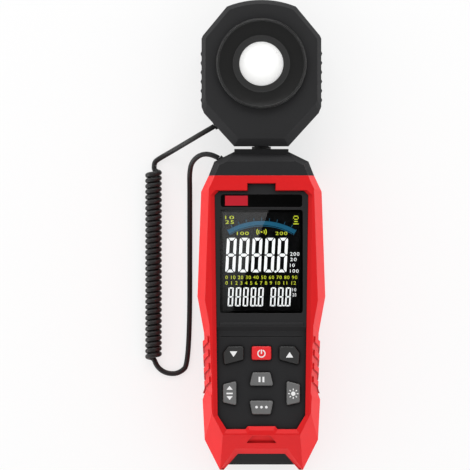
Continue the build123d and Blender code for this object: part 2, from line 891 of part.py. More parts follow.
screw_head_bore = screw_diameter + 2 * screw_head_overhang + 2 * screw_fit
screw_bore = screw_diameter + 2 * screw_fit
with BuildPart() as rear_shell:
    add(rear_solid.part)
    add(rear_hollow, mode=Mode.SUBTRACT)
    add(bay_block.part)
    add(posts(housing_places, 0, parting_height, rear_solid.part))
    add(neck_boss.part)
    split(bisect_by=Plane.XY.offset(parting_height), keep=Keep.BOTTOM)
    add(bay_space.part, mode=Mode.SUBTRACT)
    add(neck_bore.part, mode=Mode.SUBTRACT)
    add(grommet_bores.part, mode=Mode.SUBTRACT)
    add(bores(housing_places, screw_head_bore, -cut_overrun, housing_seat), mode=Mode.SUBTRACT)
    add(bores(housing_places, screw_bore, housing_seat, parting_height), mode=Mode.SUBTRACT)

housing_screws = screws(housing_places, housing_seat, screw_head_height, screw_length)

# Window, label strip and the display under the window
with BuildPart() as display_window:
    with BuildSketch(Plane.XY.offset(window_seat)):
        with Locations((0, window_y)):
            RectangleRounded(window_width, window_length, window_corner)
    extrude(amount=window_thick)

with BuildPart() as label_strip:
    with BuildSketch(Plane.XY.offset(bezel_height - strip_depth)):
        with Locations((0, strip_y)):
            RectangleRounded(strip_width, strip_length, strip_corner)
    extrude(amount=strip_thick)

lcd_width = window_width - 2 * window_ledge + 2 * lcd_margin
lcd_length = window_length - 2 * window_ledge + 2 * lcd_margin
lcd_foot_y = window_y - lcd_length / 2
lcd_top_y = window_y + lcd_length / 2
lcd_module = box(lcd_width, lcd_foot_y, lcd_top_y, lcd_back, front_wall_height)
holder_space = box(
    lcd_width - 2 * holder_inset, lcd_foot_y + holder_inset, lcd_top_y - holder_inset, board_top, lcd_back
)
with BuildPart() as lcd_holder:
    add(box(lcd_width, lcd_foot_y, lcd_top_y, board_top, lcd_back))
    add(holder_space, mode=Mode.SUBTRACT)

with BuildPart() as zebra_strips:
    with BuildSketch(Plane.XY.offset(board_top)):
        with Locations((0, lcd_foot_y + holder_inset), (0, lcd_top_y - holder_inset - zebra_width)):
            Rectangle(lcd_width - 2 * holder_inset, zebra_width, align=(Align.CENTER, Align.MIN))
    extrude(amount=holder_thick)

# Main board with its small parts
main_board = box(board_width, board_foot_y, board_top_y, board_bottom, board_top)

with BuildPart() as board_chips:
    with BuildSketch(Plane.XY.offset(board_bottom)):
        for x, y in chip_place_shares:
            with Locations((x * board_width / 2, board_foot_y + y * board_length)):
                Rectangle(chip_width, chip_width)
    extrude(amount=-chip_thick)

with BuildPart() as buzzer:
    with BuildSketch(Plane.XY.offset(board_bottom)):
        with Locations((0, board_top_y - buzzer_drop)):
            Circle(buzzer_radius)
    extrude(amount=-buzzer_height)

# Rubber key mat over the contact pads
stem_places = list(key_places.values())
with BuildPart() as keypad_mat:
    add(box(mat_width, mat_y - mat_length / 2, mat_y + mat_length / 2, board_top, mat_top))
    add(
        box(
            mat_width - 2 * mat_skirt,
            mat_y - mat_length / 2 + mat_skirt,
            mat_y + mat_length / 2 - mat_skirt,
            board_top,
            mat_top - mat_sheet,
        ),
        mode=Mode.SUBTRACT,
    )
    with BuildSketch(Plane.XY.offset(mat_top - mat_sheet)):
        with Locations(*stem_places):
            Rectangle(key_stem + 2 * mat_gap, key_stem + 2 * mat_gap)
    extrude(amount=mat_sheet, mode=Mode.SUBTRACT)

with BuildPart() as key_contacts:
    with BuildSketch(Plane.XY.offset(board_top)):
        with Locations(*stem_places):
            Rectangle(contact_width, contact_width)
    extrude(amount=contact_thick)

# Keys: a cap through the face, a flange that stops behind it and a stem over the contact pad
keys = {}
for name, points in key_outlines.items():
    with BuildPart() as key:
        with BuildSketch(Plane.XY.offset(front_wall_height)) as cap:
            Polygon(*points, align=None)
            fillet(cap.vertices(), key_corner)
        extrude(amount=shell_wall + key_proud)
        chamfer(key.faces().sort_by(Axis.Z)[-1].edges(), key_edge)
        with BuildSketch(Plane.XY.offset(front_wall_height)):
            Polygon(*points, align=None)
            offset(amount=key_flange, kind=Kind.INTERSECTION)
        extrude(amount=-key_flange_thick)
        with BuildSketch(Plane.XY.offset(key_stem_foot)):
            with Locations(key_places[name]):
                Rectangle(key_stem, key_stem)
        extrude(amount=front_wall_height - key_stem_foot)
    keys[name] = key.part

# Neck: the socket in the body, the plug in it and the clip that keeps the head on the journal
with BuildPart() as neck_socket:
    with BuildSketch(neck_plane(socket_foot_y)):
        Circle(socket_radius)
    extrude(amount=collar_top_y - socket_foot_y)
    with BuildSketch(neck_plane(plug_foot_y - neck_fit)):
        Circle(neck_diameter / 2 + neck_fit)
        with Locations((0, -neck_diameter / 2)):
            Rectangle(neck_key_width + 2 * neck_fit, 2 * (neck_key_height + neck_fit))
    extrude(amount=neck_plug_length + cut_overrun, mode=Mode.SUBTRACT)

clip_groove_y = bearing_top_y + clip_gap
with BuildPart() as neck_plug:
    with BuildSketch(neck_plane(plug_foot_y)):
        Circle(neck_diameter / 2)
        with Locations((0, -neck_diameter / 2)):
            Rectangle(neck_key_width, 2 * neck_key_height)
    extrude(amount=neck_plug_length - neck_fit)
    with BuildSketch(neck_plane(plug_foot_y)):
        Circle(neck_diameter / 2)
    extrude(amount=shoulder_y - plug_foot_y)
    with BuildSketch(neck_plane(shoulder_y)):
        Circle(journal_diameter / 2)
    extrude(amount=journal_length)
    with BuildSketch(neck_plane(clip_groove_y)):
        Circle(journal_diameter / 2 + clip_groove)
        Circle(journal_diameter / 2 - clip_groove, mode=Mode.SUBTRACT)
    extrude(amount=clip_thick, mode=Mode.SUBTRACT)

with BuildPart() as neck_clip:
    with BuildSketch(neck_plane(clip_groove_y)):
        Circle(clip_diameter / 2)
        Circle(journal_diameter / 2 - clip_groove, mode=Mode.SUBTRACT)
        with Locations((0, clip_diameter / 2)):
            Rectangle(clip_mouth, clip_diameter, mode=Mode.SUBTRACT)
    extrude(amount=clip_thick)

# Sensor head: two halves round the neck's bearing
head_front_envelope = crowned(
    faceted(
        (parting_height, head_seam_outline),
        (parting_height + seam_bevel, head_outline),
        (head_front - head_bevel_height, head_outline),
        head_section(head_front),
    ),
    parting_height,
    head_front,
    bevel_high=head_bevel,
)
head_rear_envelope = crowned(
    faceted(
        head_section(head_back_height),
        (head_back_height + head_bevel_height, head_outline),
        (parting_height - seam_bevel, head_outline),
        (parting_height, head_seam_outline),
    ),
    head_back_height,
    parting_height,
    bevel_low=head_bevel,
)
head_hollow = crowned(
    faceted(
        head_section(head_back_height + shell_wall, shell_wall),
        head_section(head_back_height + head_bevel_height + shell_wall, shell_wall),
        head_section(head_front - head_bevel_height - shell_wall, shell_wall),
        head_section(head_front - shell_wall, shell_wall),
    ),
    head_back_height + shell_wall,
    head_front - shell_wall,
    wall=shell_wall,
)
bearing_block = journal_diameter / 2 + journal_fit + bearing_wall
with BuildPart() as bearing:
    with BuildSketch(neck_plane(head_foot_y)):
        Rectangle(2 * bearing_block, 2 * bearing_block)
    extrude(amount=bearing_length)

with BuildPart() as bearing_bore:
    with BuildSketch(neck_plane(head_foot_y)):
        Circle(journal_diameter / 2 + journal_fit)
    extrude(amount=bearing_length)

head_rib_x = head_width / 2 + head_rib_proud - head_rib_radius
head_rib_foot_y = head_foot_y + head_length * head_rib_foot_share
head_rib_pitch = head_length * (head_rib_top_share - head_rib_foot_share) / (head_rib_count - 1)
head_rib_places = both_sides(
    [(head_rib_x, head_rib_foot_y + rib * head_rib_pitch) for rib in range(head_rib_count)]
)
with BuildPart() as head_ribs:
    with BuildSketch(Plane.XY.offset(head_back_height + head_bevel_height)):
        with Locations(*head_rib_places):
            RegularPolygon(head_rib_radius, head_rib_sides)
    extrude(amount=head_depth - 2 * head_bevel_height)
    add(head_hollow, mode=Mode.SUBTRACT)

head_places = both_sides(placed(head_screw_shares, head_width / 2, head_length, head_foot_y))
head_pilot_top = head_seat + head_screw_length + screw_fit
head_post_top = head_front - shell_wall
with BuildPart() as head_front_shell:
    add(head_front_envelope)
    add(head_hollow, mode=Mode.SUBTRACT)
    add(posts(head_places, parting_height, head_post_top, head_front_envelope))
    add(bearing.part)
    add(head_ribs.part)
    split(bisect_by=Plane.XY.offset(parting_height), keep=Keep.TOP)
    add(bearing_bore.part, mode=Mode.SUBTRACT)
    add(grommet_bores.part, mode=Mode.SUBTRACT)
    add(bores(head_places, screw_diameter + screw_fit, parting_height, head_pilot_top), mode=Mode.SUBTRACT)
    with BuildSketch(Plane.XY.offset(head_front - ring_seat)):
        with Locations((0, ring_y)):
            Circle(ring_radius + ring_fit)
    extrude(amount=ring_seat, mode=Mode.SUBTRACT)
    with BuildSketch(Plane.XY.offset(head_front - ring_seat - shell_wall)):
        with Locations((0, ring_y)):
            Circle(ring_skirt_radius + ring_fit)
    extrude(amount=shell_wall, mode=Mode.SUBTRACT)

with BuildPart() as head_rear_shell:
    add(head_rear_envelope)
    add(head_hollow, mode=Mode.SUBTRACT)
    add(posts(head_places, head_back_height, parting_height, head_rear_envelope))
    add(bearing.part)
    add(head_ribs.part)
    split(bisect_by=Plane.XY.offset(parting_height), keep=Keep.BOTTOM)
    add(bearing_bore.part, mode=Mode.SUBTRACT)
    add(grommet_bores.part, mode=Mode.SUBTRACT)
    add(bores(head_places, screw_head_bore, head_back_height, head_seat), mode=Mode.SUBTRACT)
    add(bores(head_places, screw_bore, head_seat, parting_height), mode=Mode.SUBTRACT)

head_screws = screws(head_places, head_seat, screw_head_height, head_screw_length)

# Sensor: ring with its funnel, white dome, filter, photodiode and board
ring_plane = Plane(origin=(0, ring_y, 0), x_dir=(1, 0, 0), z_dir=(0, -1, 0))
ring_axis = Axis((0, ring_y, 0), (0, 0, 1))
ring_foot = head_front - ring_seat
with BuildPart() as sensor_ring:
    with BuildSketch(ring_plane):
        with BuildLine():
            Polyline(
                (dome_radius + ring_fit, dome_seat),
                (ring_skirt_radius, dome_seat),
                (ring_skirt_radius, ring_foot),
                (ring_radius, ring_foot),
                (ring_radius, ring_top - ring_edge),
                (ring_radius - ring_edge, ring_top),
                (ring_radius - ring_rim, ring_top),
                (funnel_radius, funnel_floor),
                (dome_radius + ring_fit, funnel_floor),
                close=True,
            )
        make_face()
    revolve(axis=ring_axis)
    with BuildSketch(Plane.XY.offset(dome_seat)):
        with Locations((0, ring_y)):
            with GridLocations(sensor_post_pitch, sensor_post_pitch, 2, 2):
                Rectangle(sensor_post, sensor_post)
    extrude(amount=diode_foot - dome_seat)

with BuildPart() as diffuser_dome:
    with BuildSketch(ring_plane):
        with BuildLine():
            Polyline(
                (0, funnel_floor + dome_rise),
                (0, dome_foot),
                (dome_radius + dome_flange, dome_foot),
                (dome_radius + dome_flange, dome_seat),
                (dome_radius, dome_seat),
                (dome_radius, funnel_floor),
            )
            TangentArc((0, funnel_floor + dome_rise), (dome_radius, funnel_floor), tangent=(1, 0))
        make_face()
    revolve(axis=ring_axis)

correction_filter = disc(ring_y, filter_radius, filter_foot, dome_foot)
photodiode = disc(ring_y, diode_radius, diode_foot, filter_foot)
sensor_board = box(
    sensor_board_width,
    ring_y - sensor_board_width / 2,
    ring_y + sensor_board_width / 2,
    diode_foot - sensor_board_thick,
    diode_foot,
)

# Battery door with its tongue, its alignment tabs and its captive screw
door_grip_top_y = door_top_y - door_grip_drop
door_grip_places = [(0, door_grip_top_y - line * door_grip_pitch) for line in range(door_grip_count)]
with BuildPart() as battery_door:
    add(box(door_width, door_foot_y, door_top_y, back_recess, door_inner_height))
    add(box(door_tongue_width, door_top_y, door_top_y + door_tongue_length, back_recess, door_inner_height))
    with BuildSketch(Plane.XY.offset(door_inner_height)):
        with Locations((0, (bay_foot_y + bay_top_y) / 2)):
            with GridLocations(bay_width - 2 * bay_side_gap - door_tab_thick, door_tab_pitch, 2, 2):
                Rectangle(door_tab_thick, door_tab_width)
    extrude(amount=door_tab_height)
    with BuildSketch(Plane.XY.offset(back_recess)):
        with Locations(*door_grip_places):
            Rectangle(door_grip_length, door_grip_width)
    extrude(amount=door_grip_depth, mode=Mode.SUBTRACT)
    add(bores(door_screw_place, screw_head_bore, back_recess, door_screw_seat), mode=Mode.SUBTRACT)
    add(bores(door_screw_place, screw_bore, door_screw_seat, door_inner_height), mode=Mode.SUBTRACT)

battery_door_screw = screws(door_screw_place, door_screw_seat, door_screw_head, door_screw_length)

# Three cells, every other one turned round, between leaf springs and contact plates
cell_foot_y = bay_foot_y + spring_depth
cell_turned_foot_y = bay_top_y - spring_depth
cell_lanes = [((lane - (cell_count - 1) / 2) * cell_pitch, lane % 2) for lane in range(cell_count)]
with BuildPart() as battery_cells:
    for x, turned in cell_lanes:
        end_y = cell_turned_foot_y if turned else cell_foot_y
        way = -1 if turned else 1
        lane_plane = Plane(origin=(x, end_y, cell_axis_height), x_dir=(1, 0, 0), z_dir=(0, way, 0))
        with BuildSketch(lane_plane):
            Circle(cell_diameter / 2)
        extrude(amount=cell_length)
        with BuildSketch(lane_plane):
            Circle(cell_nub_diameter / 2)
        extrude(amount=cell_length + cell_nub_length)

with BuildPart() as battery_springs:
    for x, turned in cell_lanes:
        wall_y = bay_top_y if turned else bay_foot_y
        way = -1 if turned else 1
        base_y = wall_y + way * spring_strip / 2
        tip_y = wall_y + way * (spring_depth - spring_strip / 2)
        tail_y = wall_y + way * spring_depth / 2
        with BuildSketch(Plane.YZ.offset(x - spring_width / 2)):
            with BuildLine():
                Polyline(
                    (base_y, cell_axis_height - spring_rise),
                    (base_y, cell_axis_height + spring_rise),
                    (tip_y, cell_axis_height + spring_rise / 3),
                    (tip_y, cell_axis_height - spring_rise / 3),
                    (tail_y, cell_axis_height - spring_rise * 2 / 3),
                )
            trace(line_width=spring_strip)
        extrude(amount=spring_width)

with BuildPart() as battery_contacts:
    for x, turned in cell_lanes:
        wall_y = bay_foot_y if turned else bay_top_y - contact_plate
        with BuildSketch(Plane.XZ.offset(-wall_y)):
            with Locations((x, cell_axis_height)):
                Rectangle(spring_width, 2 * spring_rise)
        extrude(amount=-contact_plate)


def grommet(exit_plane):
    """A rubber grommet in its bore, its outer face a little proud."""
    with BuildPart() as plug:
        with BuildSketch(exit_plane.offset(grommet_proud - grommet_length)):
            Circle(grommet_diameter / 2)
        extrude(amount=grommet_length)
    return plug.part


def corner_radii(points):
    """For each corner, 0.45 of its shorter run over the tangent of half its turn."""
    radii = []
    for before, here, after in zip(points, points[1:], points[2:]):
        arriving = Vector(*here) - Vector(*before)
        leaving = Vector(*after) - Vector(*here)
        half_turn = radians(arriving.get_angle(leaving)) / 2
        radii.append(0.45 * min(arriving.length, leaving.length) / tan(half_turn))
    return radii


def swept(path, name):
    """The wire's section swept along a path, its volume compared with section times length."""
    with BuildPart() as tube:
        with BuildSketch(Plane(origin=path @ 0, z_dir=path % 0)) as section:
            RegularPolygon(cord_diameter / 2, cord_sides)
        sweep(path=path)
    share = tube.part.volume / (section.sketch.area * path.length)
    print(name, "length", round(path.length, 1), "volume against section times length", round(share, 4))
    return tube.part


def lead(exit_plane, run, route, name):
    """A lead from its grommet's face along its route."""
    start = exit_plane.origin + exit_plane.z_dir * grommet_proud
    corner = start + exit_plane.z_dir * run
    points = [tuple(start), tuple(corner), *route]
    radii = corner_radii(points)
    print(name, "radii", [round(radius, 1) for radius in radii])
    with BuildLine() as path:
        FilletPolyline(*points, radius=radii)
    return swept(path.wire(), name)


def biarc(start, heading, end, arrival):
    """The joint of two arcs of equal reach between two points, and the heading there."""
    span = end - start
    lean = span.dot(heading + arrival)
    spread = 2 * (1 - heading.dot(arrival))
    reach = (sqrt(lean**2 + spread * span.dot(span)) - lean) / spread
    near = start + heading * reach
    far = end - arrival * reach
    return (near + far) / 2, far - near


def helix_node(half_turn):
    """A point on the coil's helix and the heading there, a quarter turn past its underside and on."""
    angle = pi / 2 + pi * half_turn
    height = coil_diameter / 2
    y = helix_top_y - helix_pitch * half_turn / 2
    point = Vector(coil_x + helix_radius * sin(angle), y, height - helix_radius * cos(angle))
    heading = Vector(helix_radius * cos(angle), -helix_pitch / (2 * pi), helix_radius * sin(angle))
    return point, heading.normalized()


helix_radius = (coil_diameter - cord_diameter) / 2
helix_top_y = coil_join_top_y - coil_end_length - coil_lead_length
helix_foot_y = coil_join_foot_y + coil_end_length + coil_lead_length
helix_pitch = (helix_top_y - helix_foot_y) / coil_turns
along_coil = Vector(0, -1, 0)
coil_start = Vector(coil_x, coil_join_top_y, cord_height)
coil_end = Vector(coil_x, coil_join_foot_y, cord_height)
coil_nodes = [(coil_start + along_coil * coil_end_length, along_coil)]
coil_nodes += [helix_node(half_turn) for half_turn in range(int(2 * coil_turns) + 1)]
coil_nodes += [(coil_end - along_coil * coil_end_length, along_coil)]
with BuildLine() as coil_path:
    Line(coil_start, coil_nodes[0][0])
    for (start, heading), (end, arrival) in zip(coil_nodes, coil_nodes[1:]):
        joint, onward = biarc(start, heading, end, arrival)
        TangentArc(start, joint, tangent=heading)
        TangentArc(joint, end, tangent=onward)
    Line(coil_nodes[-1][0], coil_end)

body_cord_grommet = grommet(body_exit_plane)
head_cord_grommet = grommet(head_exit_plane)
cord_head_lead = lead(head_exit_plane, head_exit_run, head_lead_route, "head lead")
cord_body_lead = lead(body_exit_plane, body_exit_run, body_lead_route, "body lead")
cord_coil = swept(coil_path.wire(), "coil")

# The coil's least gap to itself, on points along its path, leaving out those less than half a turn away
coil_samples = [
    edge.position_at(share / 8) for edge in coil_path.wire().edges() for share in range(8)
]
half_turn_samples = 16
least = min(
    (here - there).length
    for at, here in enumerate(coil_samples)
    for there in coil_samples[at + half_turn_samples : at + 4 * half_turn_samples]
)
tightest = min(edge.radius for edge in coil_path.wire().edges() if edge.geom_type == GeomType.CIRCLE)
print("coil gap", round(least - cord_diameter, 3), "tightest arc", round(tightest, 2))

save(front_bumper.part, "front_bumper")
save(rear_bumper.part, "rear_bumper")
save(front_shell.part, "front_shell")
save(rear_shell.part, "rear_shell")
save(housing_screws, "housing_screws")
save(display_window.part, "display_window")
save(label_strip.part, "label_strip")
save(lcd_module, "lcd_module")
save(lcd_holder.part, "lcd_holder")
save(zebra_strips.part, "zebra_strips")
save(main_board, "main_board")
save(board_chips.part, "board_chips")
save(buzzer.part, "buzzer")
save(keypad_mat.part, "keypad_mat")
save(key_contacts.part, "key_contacts")
for name, key in keys.items():
    save(key, name)
save(neck_socket.part, "neck_socket")
save(neck_plug.part, "neck_plug")
save(neck_clip.part, "neck_clip")
save(head_front_shell.part, "head_front_shell")
save(head_rear_shell.part, "head_rear_shell")
save(head_screws, "head_screws")
save(sensor_ring.part, "sensor_ring")
save(diffuser_dome.part, "diffuser_dome")
save(correction_filter, "correction_filter")
save(photodiode, "photodiode")
save(sensor_board, "sensor_board")
save(battery_door.part, "battery_door")
save(battery_door_screw, "battery_door_screw")
save(battery_cells.part, "battery_cells")
save(battery_springs.part, "battery_springs")
save(battery_contacts.part, "battery_contacts")
save(body_cord_grommet, "body_cord_grommet")
save(head_cord_grommet, "head_cord_grommet")
save(cord_body_lead, "cord_body_lead")
save(cord_coil, "cord_coil")
save(cord_head_lead, "cord_head_lead")
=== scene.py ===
# %% [markdown]
# A hand-held lux meter lies on its back on a pale table. Its flat sensor head is joined to the body by
# a turning neck, and a curly cord runs beside the body from the head to the meter.
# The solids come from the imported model. This script gives each of them its finish and adds what is too
# fine for a solid: the lit figures of the display, the printed marks and the cords.

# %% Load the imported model
import math

import bmesh
import bpy
from mathutils import Matrix, Vector


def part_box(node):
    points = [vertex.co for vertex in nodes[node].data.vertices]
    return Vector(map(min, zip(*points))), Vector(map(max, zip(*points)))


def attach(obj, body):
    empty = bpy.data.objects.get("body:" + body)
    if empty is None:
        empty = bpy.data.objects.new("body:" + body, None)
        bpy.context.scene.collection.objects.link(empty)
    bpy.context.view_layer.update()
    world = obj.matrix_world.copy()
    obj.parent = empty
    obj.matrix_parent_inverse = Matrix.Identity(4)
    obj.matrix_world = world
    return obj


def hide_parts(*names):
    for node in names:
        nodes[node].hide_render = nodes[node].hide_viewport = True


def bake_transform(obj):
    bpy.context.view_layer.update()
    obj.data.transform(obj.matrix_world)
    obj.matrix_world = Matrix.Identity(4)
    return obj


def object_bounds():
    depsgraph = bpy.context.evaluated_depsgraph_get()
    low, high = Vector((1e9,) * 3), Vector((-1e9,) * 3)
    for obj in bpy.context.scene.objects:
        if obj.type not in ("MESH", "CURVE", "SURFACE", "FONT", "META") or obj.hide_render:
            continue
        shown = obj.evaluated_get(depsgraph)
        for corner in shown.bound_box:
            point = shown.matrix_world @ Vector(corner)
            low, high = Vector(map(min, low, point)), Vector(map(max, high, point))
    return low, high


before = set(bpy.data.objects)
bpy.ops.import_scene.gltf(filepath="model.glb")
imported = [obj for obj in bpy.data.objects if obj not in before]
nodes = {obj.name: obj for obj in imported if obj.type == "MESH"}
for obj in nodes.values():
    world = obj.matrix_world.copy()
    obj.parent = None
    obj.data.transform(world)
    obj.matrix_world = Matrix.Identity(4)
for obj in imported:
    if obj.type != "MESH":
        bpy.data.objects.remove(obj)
cad_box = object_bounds()
mm = 0.001
low_corner, high_corner = [[round(v / mm, 1) for v in corner] for corner in cad_box]
print("the solids reach from", low_corner, "to", high_corner)

# %% [markdown]
# Three short functions serve the whole script. One puts an object into the scene, one turns a bmesh
# into a mesh, and one takes the mesh that a curve or a text makes.

# %% Object helpers
def add_object(name, data):
    """A new object, put into the scene."""
    made = bpy.data.objects.new(name, data)
    bpy.context.scene.collection.objects.link(made)
    return made


def mesh_from(name, maker):
    """The mesh of a bmesh, which is used up."""
    mesh = bpy.data.meshes.new(name)
    maker.to_mesh(mesh)
    maker.free()
    return mesh


def mesh_of(data):
    """The mesh that a curve or text makes, as a new mesh of its own."""
    holder = add_object("holder", data)
    bpy.context.view_layer.update()
    mesh = bpy.data.meshes.new_from_object(holder.evaluated_get(bpy.context.evaluated_depsgraph_get()))
    bpy.data.objects.remove(holder)
    return mesh


# %% [markdown]
# The picture looks straight down on the meter, so close to a plan view that the sides of the body don't
# show. A long lens a few metres up gives that look and still shrinks what lies lower by a little, as a
# real camera does. The lens stays level and has no shift, so the other views stay true.

# %% Camera
picture_width = 192.7 * mm      # how much of the table the square picture spans
picture_x = -10.8 * mm          # the body stands right of the middle, with the cord at its left
focus_z = 17.5 * mm             # half the height of the body, where its outline is widest
lens_length = 800.0
sensor_width = 36.0
farthest_seen = 50.0            # in metres, well beyond the floor

camera_data = bpy.data.cameras.new("camera")
camera_data.lens = lens_length
camera_data.sensor_width = sensor_width
camera_data.clip_end = farthest_seen
camera = add_object("camera", camera_data)
camera_height = picture_width * lens_length / sensor_width
camera.location = (picture_x, 0.0, focus_z + camera_height)
bpy.context.scene.camera = camera
print("the camera stands", round(camera_height, 2), "m above the meter")

# %% [markdown]
# The cord leaves the head through a grommet, runs slack over the table and turns into the curls. At their
# foot it makes a U-turn and comes back along the side of the body to its own grommet. A cord is one
# smooth line, so each stretch is a NURBS curve through few points, and a tube follows that curve.
# The routes of the two straight stretches are written down point by point, in millimetres.

# %% Routes of the straight leads
cord_width = 2.1 * mm
lying = 1.1                     # the height of the cord's middle line on the table
curls_foot, curls_top = -52.3, 28.6
body_lead_route = [
    (-17.47, 31.48, 17.5), (-20.0, 33.0, 17.5), (-24.6, 33.3, 15.7), (-28.5, 30.2, 12.0),
    (-29.5, 25.6, 7.2), (-29.4, 19.4, 3.0), (-29.4, 12.0, lying), (-29.41, -52.74, lying),
    (-33.71, -57.04, lying), (-39.04, -57.04, lying), (-42.81, -54.43, lying), (-43.62, curls_foot, lying),
]
head_lead_route = [
    (-19.26, 44.6, 17.5), (-23.6, 42.1, 17.5), (-29.4, 38.7, 13.6), (-34.9, 35.5, 6.6),
    (-38.9, 33.2, 2.0), (-42.4, 31.2, lying), (-43.95, 29.9, lying), (-44.02, curls_top, lying),
]

# %% [markdown]
# The curls are more points of the same kind of curve, worked out by a loop. Picture the coil unrolled
# onto a flat sheet: there the wire is a line, and each point has a distance round the coil and a place
# along it. At both ends the line bends from the straight lead into the slope of the turns, in short
# steps with a heading in degrees. Rolled up again, the points lie on a helix.

# %% Route of the curls
curl_turns = 34
curl_points = 14                # points in each turn
curl_radius = 2.47              # of the wire's middle line
curl_x = -44.32                 # of the coil's axis
wind_step = 0.9                 # from one point of an end to the next
foot_offset, foot_headings = -0.7, (20, 42, 66)
top_offset, top_headings = 0.3, (-8, 17, 45, 72)


def wind_in(offset, y, headings, way):
    """Where a straight end starts to wind: distances round the coil and places along it."""
    places = [(offset, y)]
    for heading in headings:
        offset += wind_step * math.sin(math.radians(heading))
        y += way * wind_step * math.cos(math.radians(heading))
        places.append((offset, y))
    return places


def curl_route():
    """The route of the curls from the foot to the top: a helix whose two ends run out straight."""
    whole = curl_turns * 2 * math.pi * curl_radius
    foot = wind_in(foot_offset, curls_foot, foot_headings, 1)
    top = [(whole - offset, y) for offset, y in wind_in(top_offset, curls_top, top_headings, -1)][::-1]
    steps = curl_turns * curl_points
    turns = [tuple(a + (b - a) * step / steps for a, b in zip(foot[-1], top[0])) for step in range(1, steps)]
    route = []
    for offset, y in foot + turns + top:
        angle = offset / curl_radius
        route.append((curl_x - curl_radius * math.sin(angle), y, lying + curl_radius * (1 - math.cos(angle))))
    return route


# %% [markdown]
# A route becomes a curve, and the curve gives two meshes: the round tube that is seen, and the bare line in
# its middle, whose length is printed.

# %% Tubes
def route_curve(name, route, width, steps):
    """A NURBS curve whose control points are the route, given in millimetres."""
    data = bpy.data.curves.new(name, "CURVE")
    data.dimensions = "3D"
    spline = data.splines.new("NURBS")
    spline.points.add(len(route) - 1)
    for point, place in zip(spline.points, route):
        point.co = (*(v * mm for v in place), 1.0)
    spline.order_u = 3
    spline.use_endpoint_u = True
    spline.resolution_u = steps
    data.bevel_depth = width / 2
    data.bevel_resolution = 4
    data.use_fill_caps = True
    return data


def tube(name, route, width, steps):
    """A cord as a mesh tube, and the points along its middle."""
    data = route_curve(name, route, width, steps)
    mesh = mesh_of(data)
    data.bevel_depth = 0.0
    line = mesh_of(data)
    path = [tuple(v.co) for v in line.vertices]
    mesh.name = name
    piece = add_object(name, mesh)
    for face in mesh.polygons:
        face.use_smooth = True
    print(name, "is", round(sum(math.dist(a, b) for a, b in zip(path, path[1:])), 4), "m long")
    return piece, path


# %% [markdown]
# Each stretch stands for a plainer piece of the model, which is hidden. The body's lead rides on the body.
# The curls and the head's lead stay where they are drawn, on no body.

# %% Cord pieces
lead_steps, curl_steps = 12, 3
body_lead, body_path = tube("body_lead", body_lead_route, cord_width, lead_steps)
curls, curl_path = tube("cord_curls", curl_route(), cord_width, curl_steps)
head_lead, head_path = tube("head_lead", head_lead_route, cord_width, lead_steps)

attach(body_lead, "meter")
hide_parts("cord_body_lead")

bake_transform(curls)
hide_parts("cord_coil")

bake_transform(head_lead)
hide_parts("cord_head_lead")

# %% [markdown]
# All finishes are made of shader nodes. The helpers below make a node and fill it in one call: a value
# given by name is a setting or an input, and an input takes a plain value or a socket to link to.

# %% Node helpers
def feed(tree, socket, value):
    """Links a socket to another one, or sets it to a plain value."""
    if isinstance(value, bpy.types.NodeSocket):
        tree.links.new(value, socket)
    else:
        socket.default_value = value


def fill(tree, made, **values):
    """Gives a node its settings and inputs by name."""
    for key, value in values.items():
        if hasattr(made, key):
            setattr(made, key, value)
        else:
            feed(tree, made.inputs[key.replace("_", " ")], value)


def node(tree, kind, *inputs, **values):
    """A new node, with its inputs in order, or its settings and inputs by name."""
    made = tree.nodes.new(kind)
    fill(tree, made, **values)
    for socket, value in zip(made.inputs, inputs):
        feed(tree, socket, value)
    return made


# %% [markdown]
# On top of those come shortcuts for what most finishes need: a sum, a ramp, a mix of two colours, and
# a new material to start from.

# %% Node shortcuts
def maths(tree, operation, *inputs, **settings):
    """The outcome of a sum on numbers or sockets."""
    return node(tree, "ShaderNodeMath", *inputs, operation=operation, **settings).outputs[0]


def ramp(tree, source, reach, values):
    """A value that goes from the first value to the second while the source crosses its reach."""
    made = node(tree, "ShaderNodeMapRange", Value=source, From_Min=reach[0], From_Max=reach[1],
                To_Min=values[0], To_Max=values[1])
    return made.outputs["Result"]


def mix_colours(tree, share, first, second):
    """The first colour where the share is 0 and the second where it is 1."""
    made = node(tree, "ShaderNodeMix", data_type="RGBA", Factor=share, A=first, B=second)
    return made.outputs["Result"]


def bare_look(name):
    """A new material whose node tree holds only an output."""
    look = bpy.data.materials.new(name)
    look.use_nodes = True
    look.node_tree.nodes.clear()
    return look, look.node_tree, look.node_tree.nodes.new("ShaderNodeOutputMaterial")


def new_look(name, **inputs):
    """A new material, with its node tree and its shader, whose inputs are given by name."""
    look = bpy.data.materials.new(name)
    look.use_nodes = True
    shader = look.node_tree.nodes["Principled BSDF"]
    fill(look.node_tree, shader, **inputs)
    return look, look.node_tree, shader


# %% [markdown]
# A studio table is pale and even. The floor is a matt sheet, whose picture for the camera is lifted
# towards white without more light on the meter, and it keeps the soft shadow.

# %% Floor
floor_size = 8.0
floor_shade = (0.92, 0.92, 0.92, 1.0)
pure_white = (1.0, 1.0, 1.0, 1.0)
camera_lift = 0.72              # the share of white that the camera sees in the floor
mirror_lift = 0.4               # the share that glossy and clear pieces see

maker = bmesh.new()
bmesh.ops.create_grid(maker, x_segments=1, y_segments=1, size=floor_size / 2)
floor = add_object("floor", mesh_from("floor", maker))

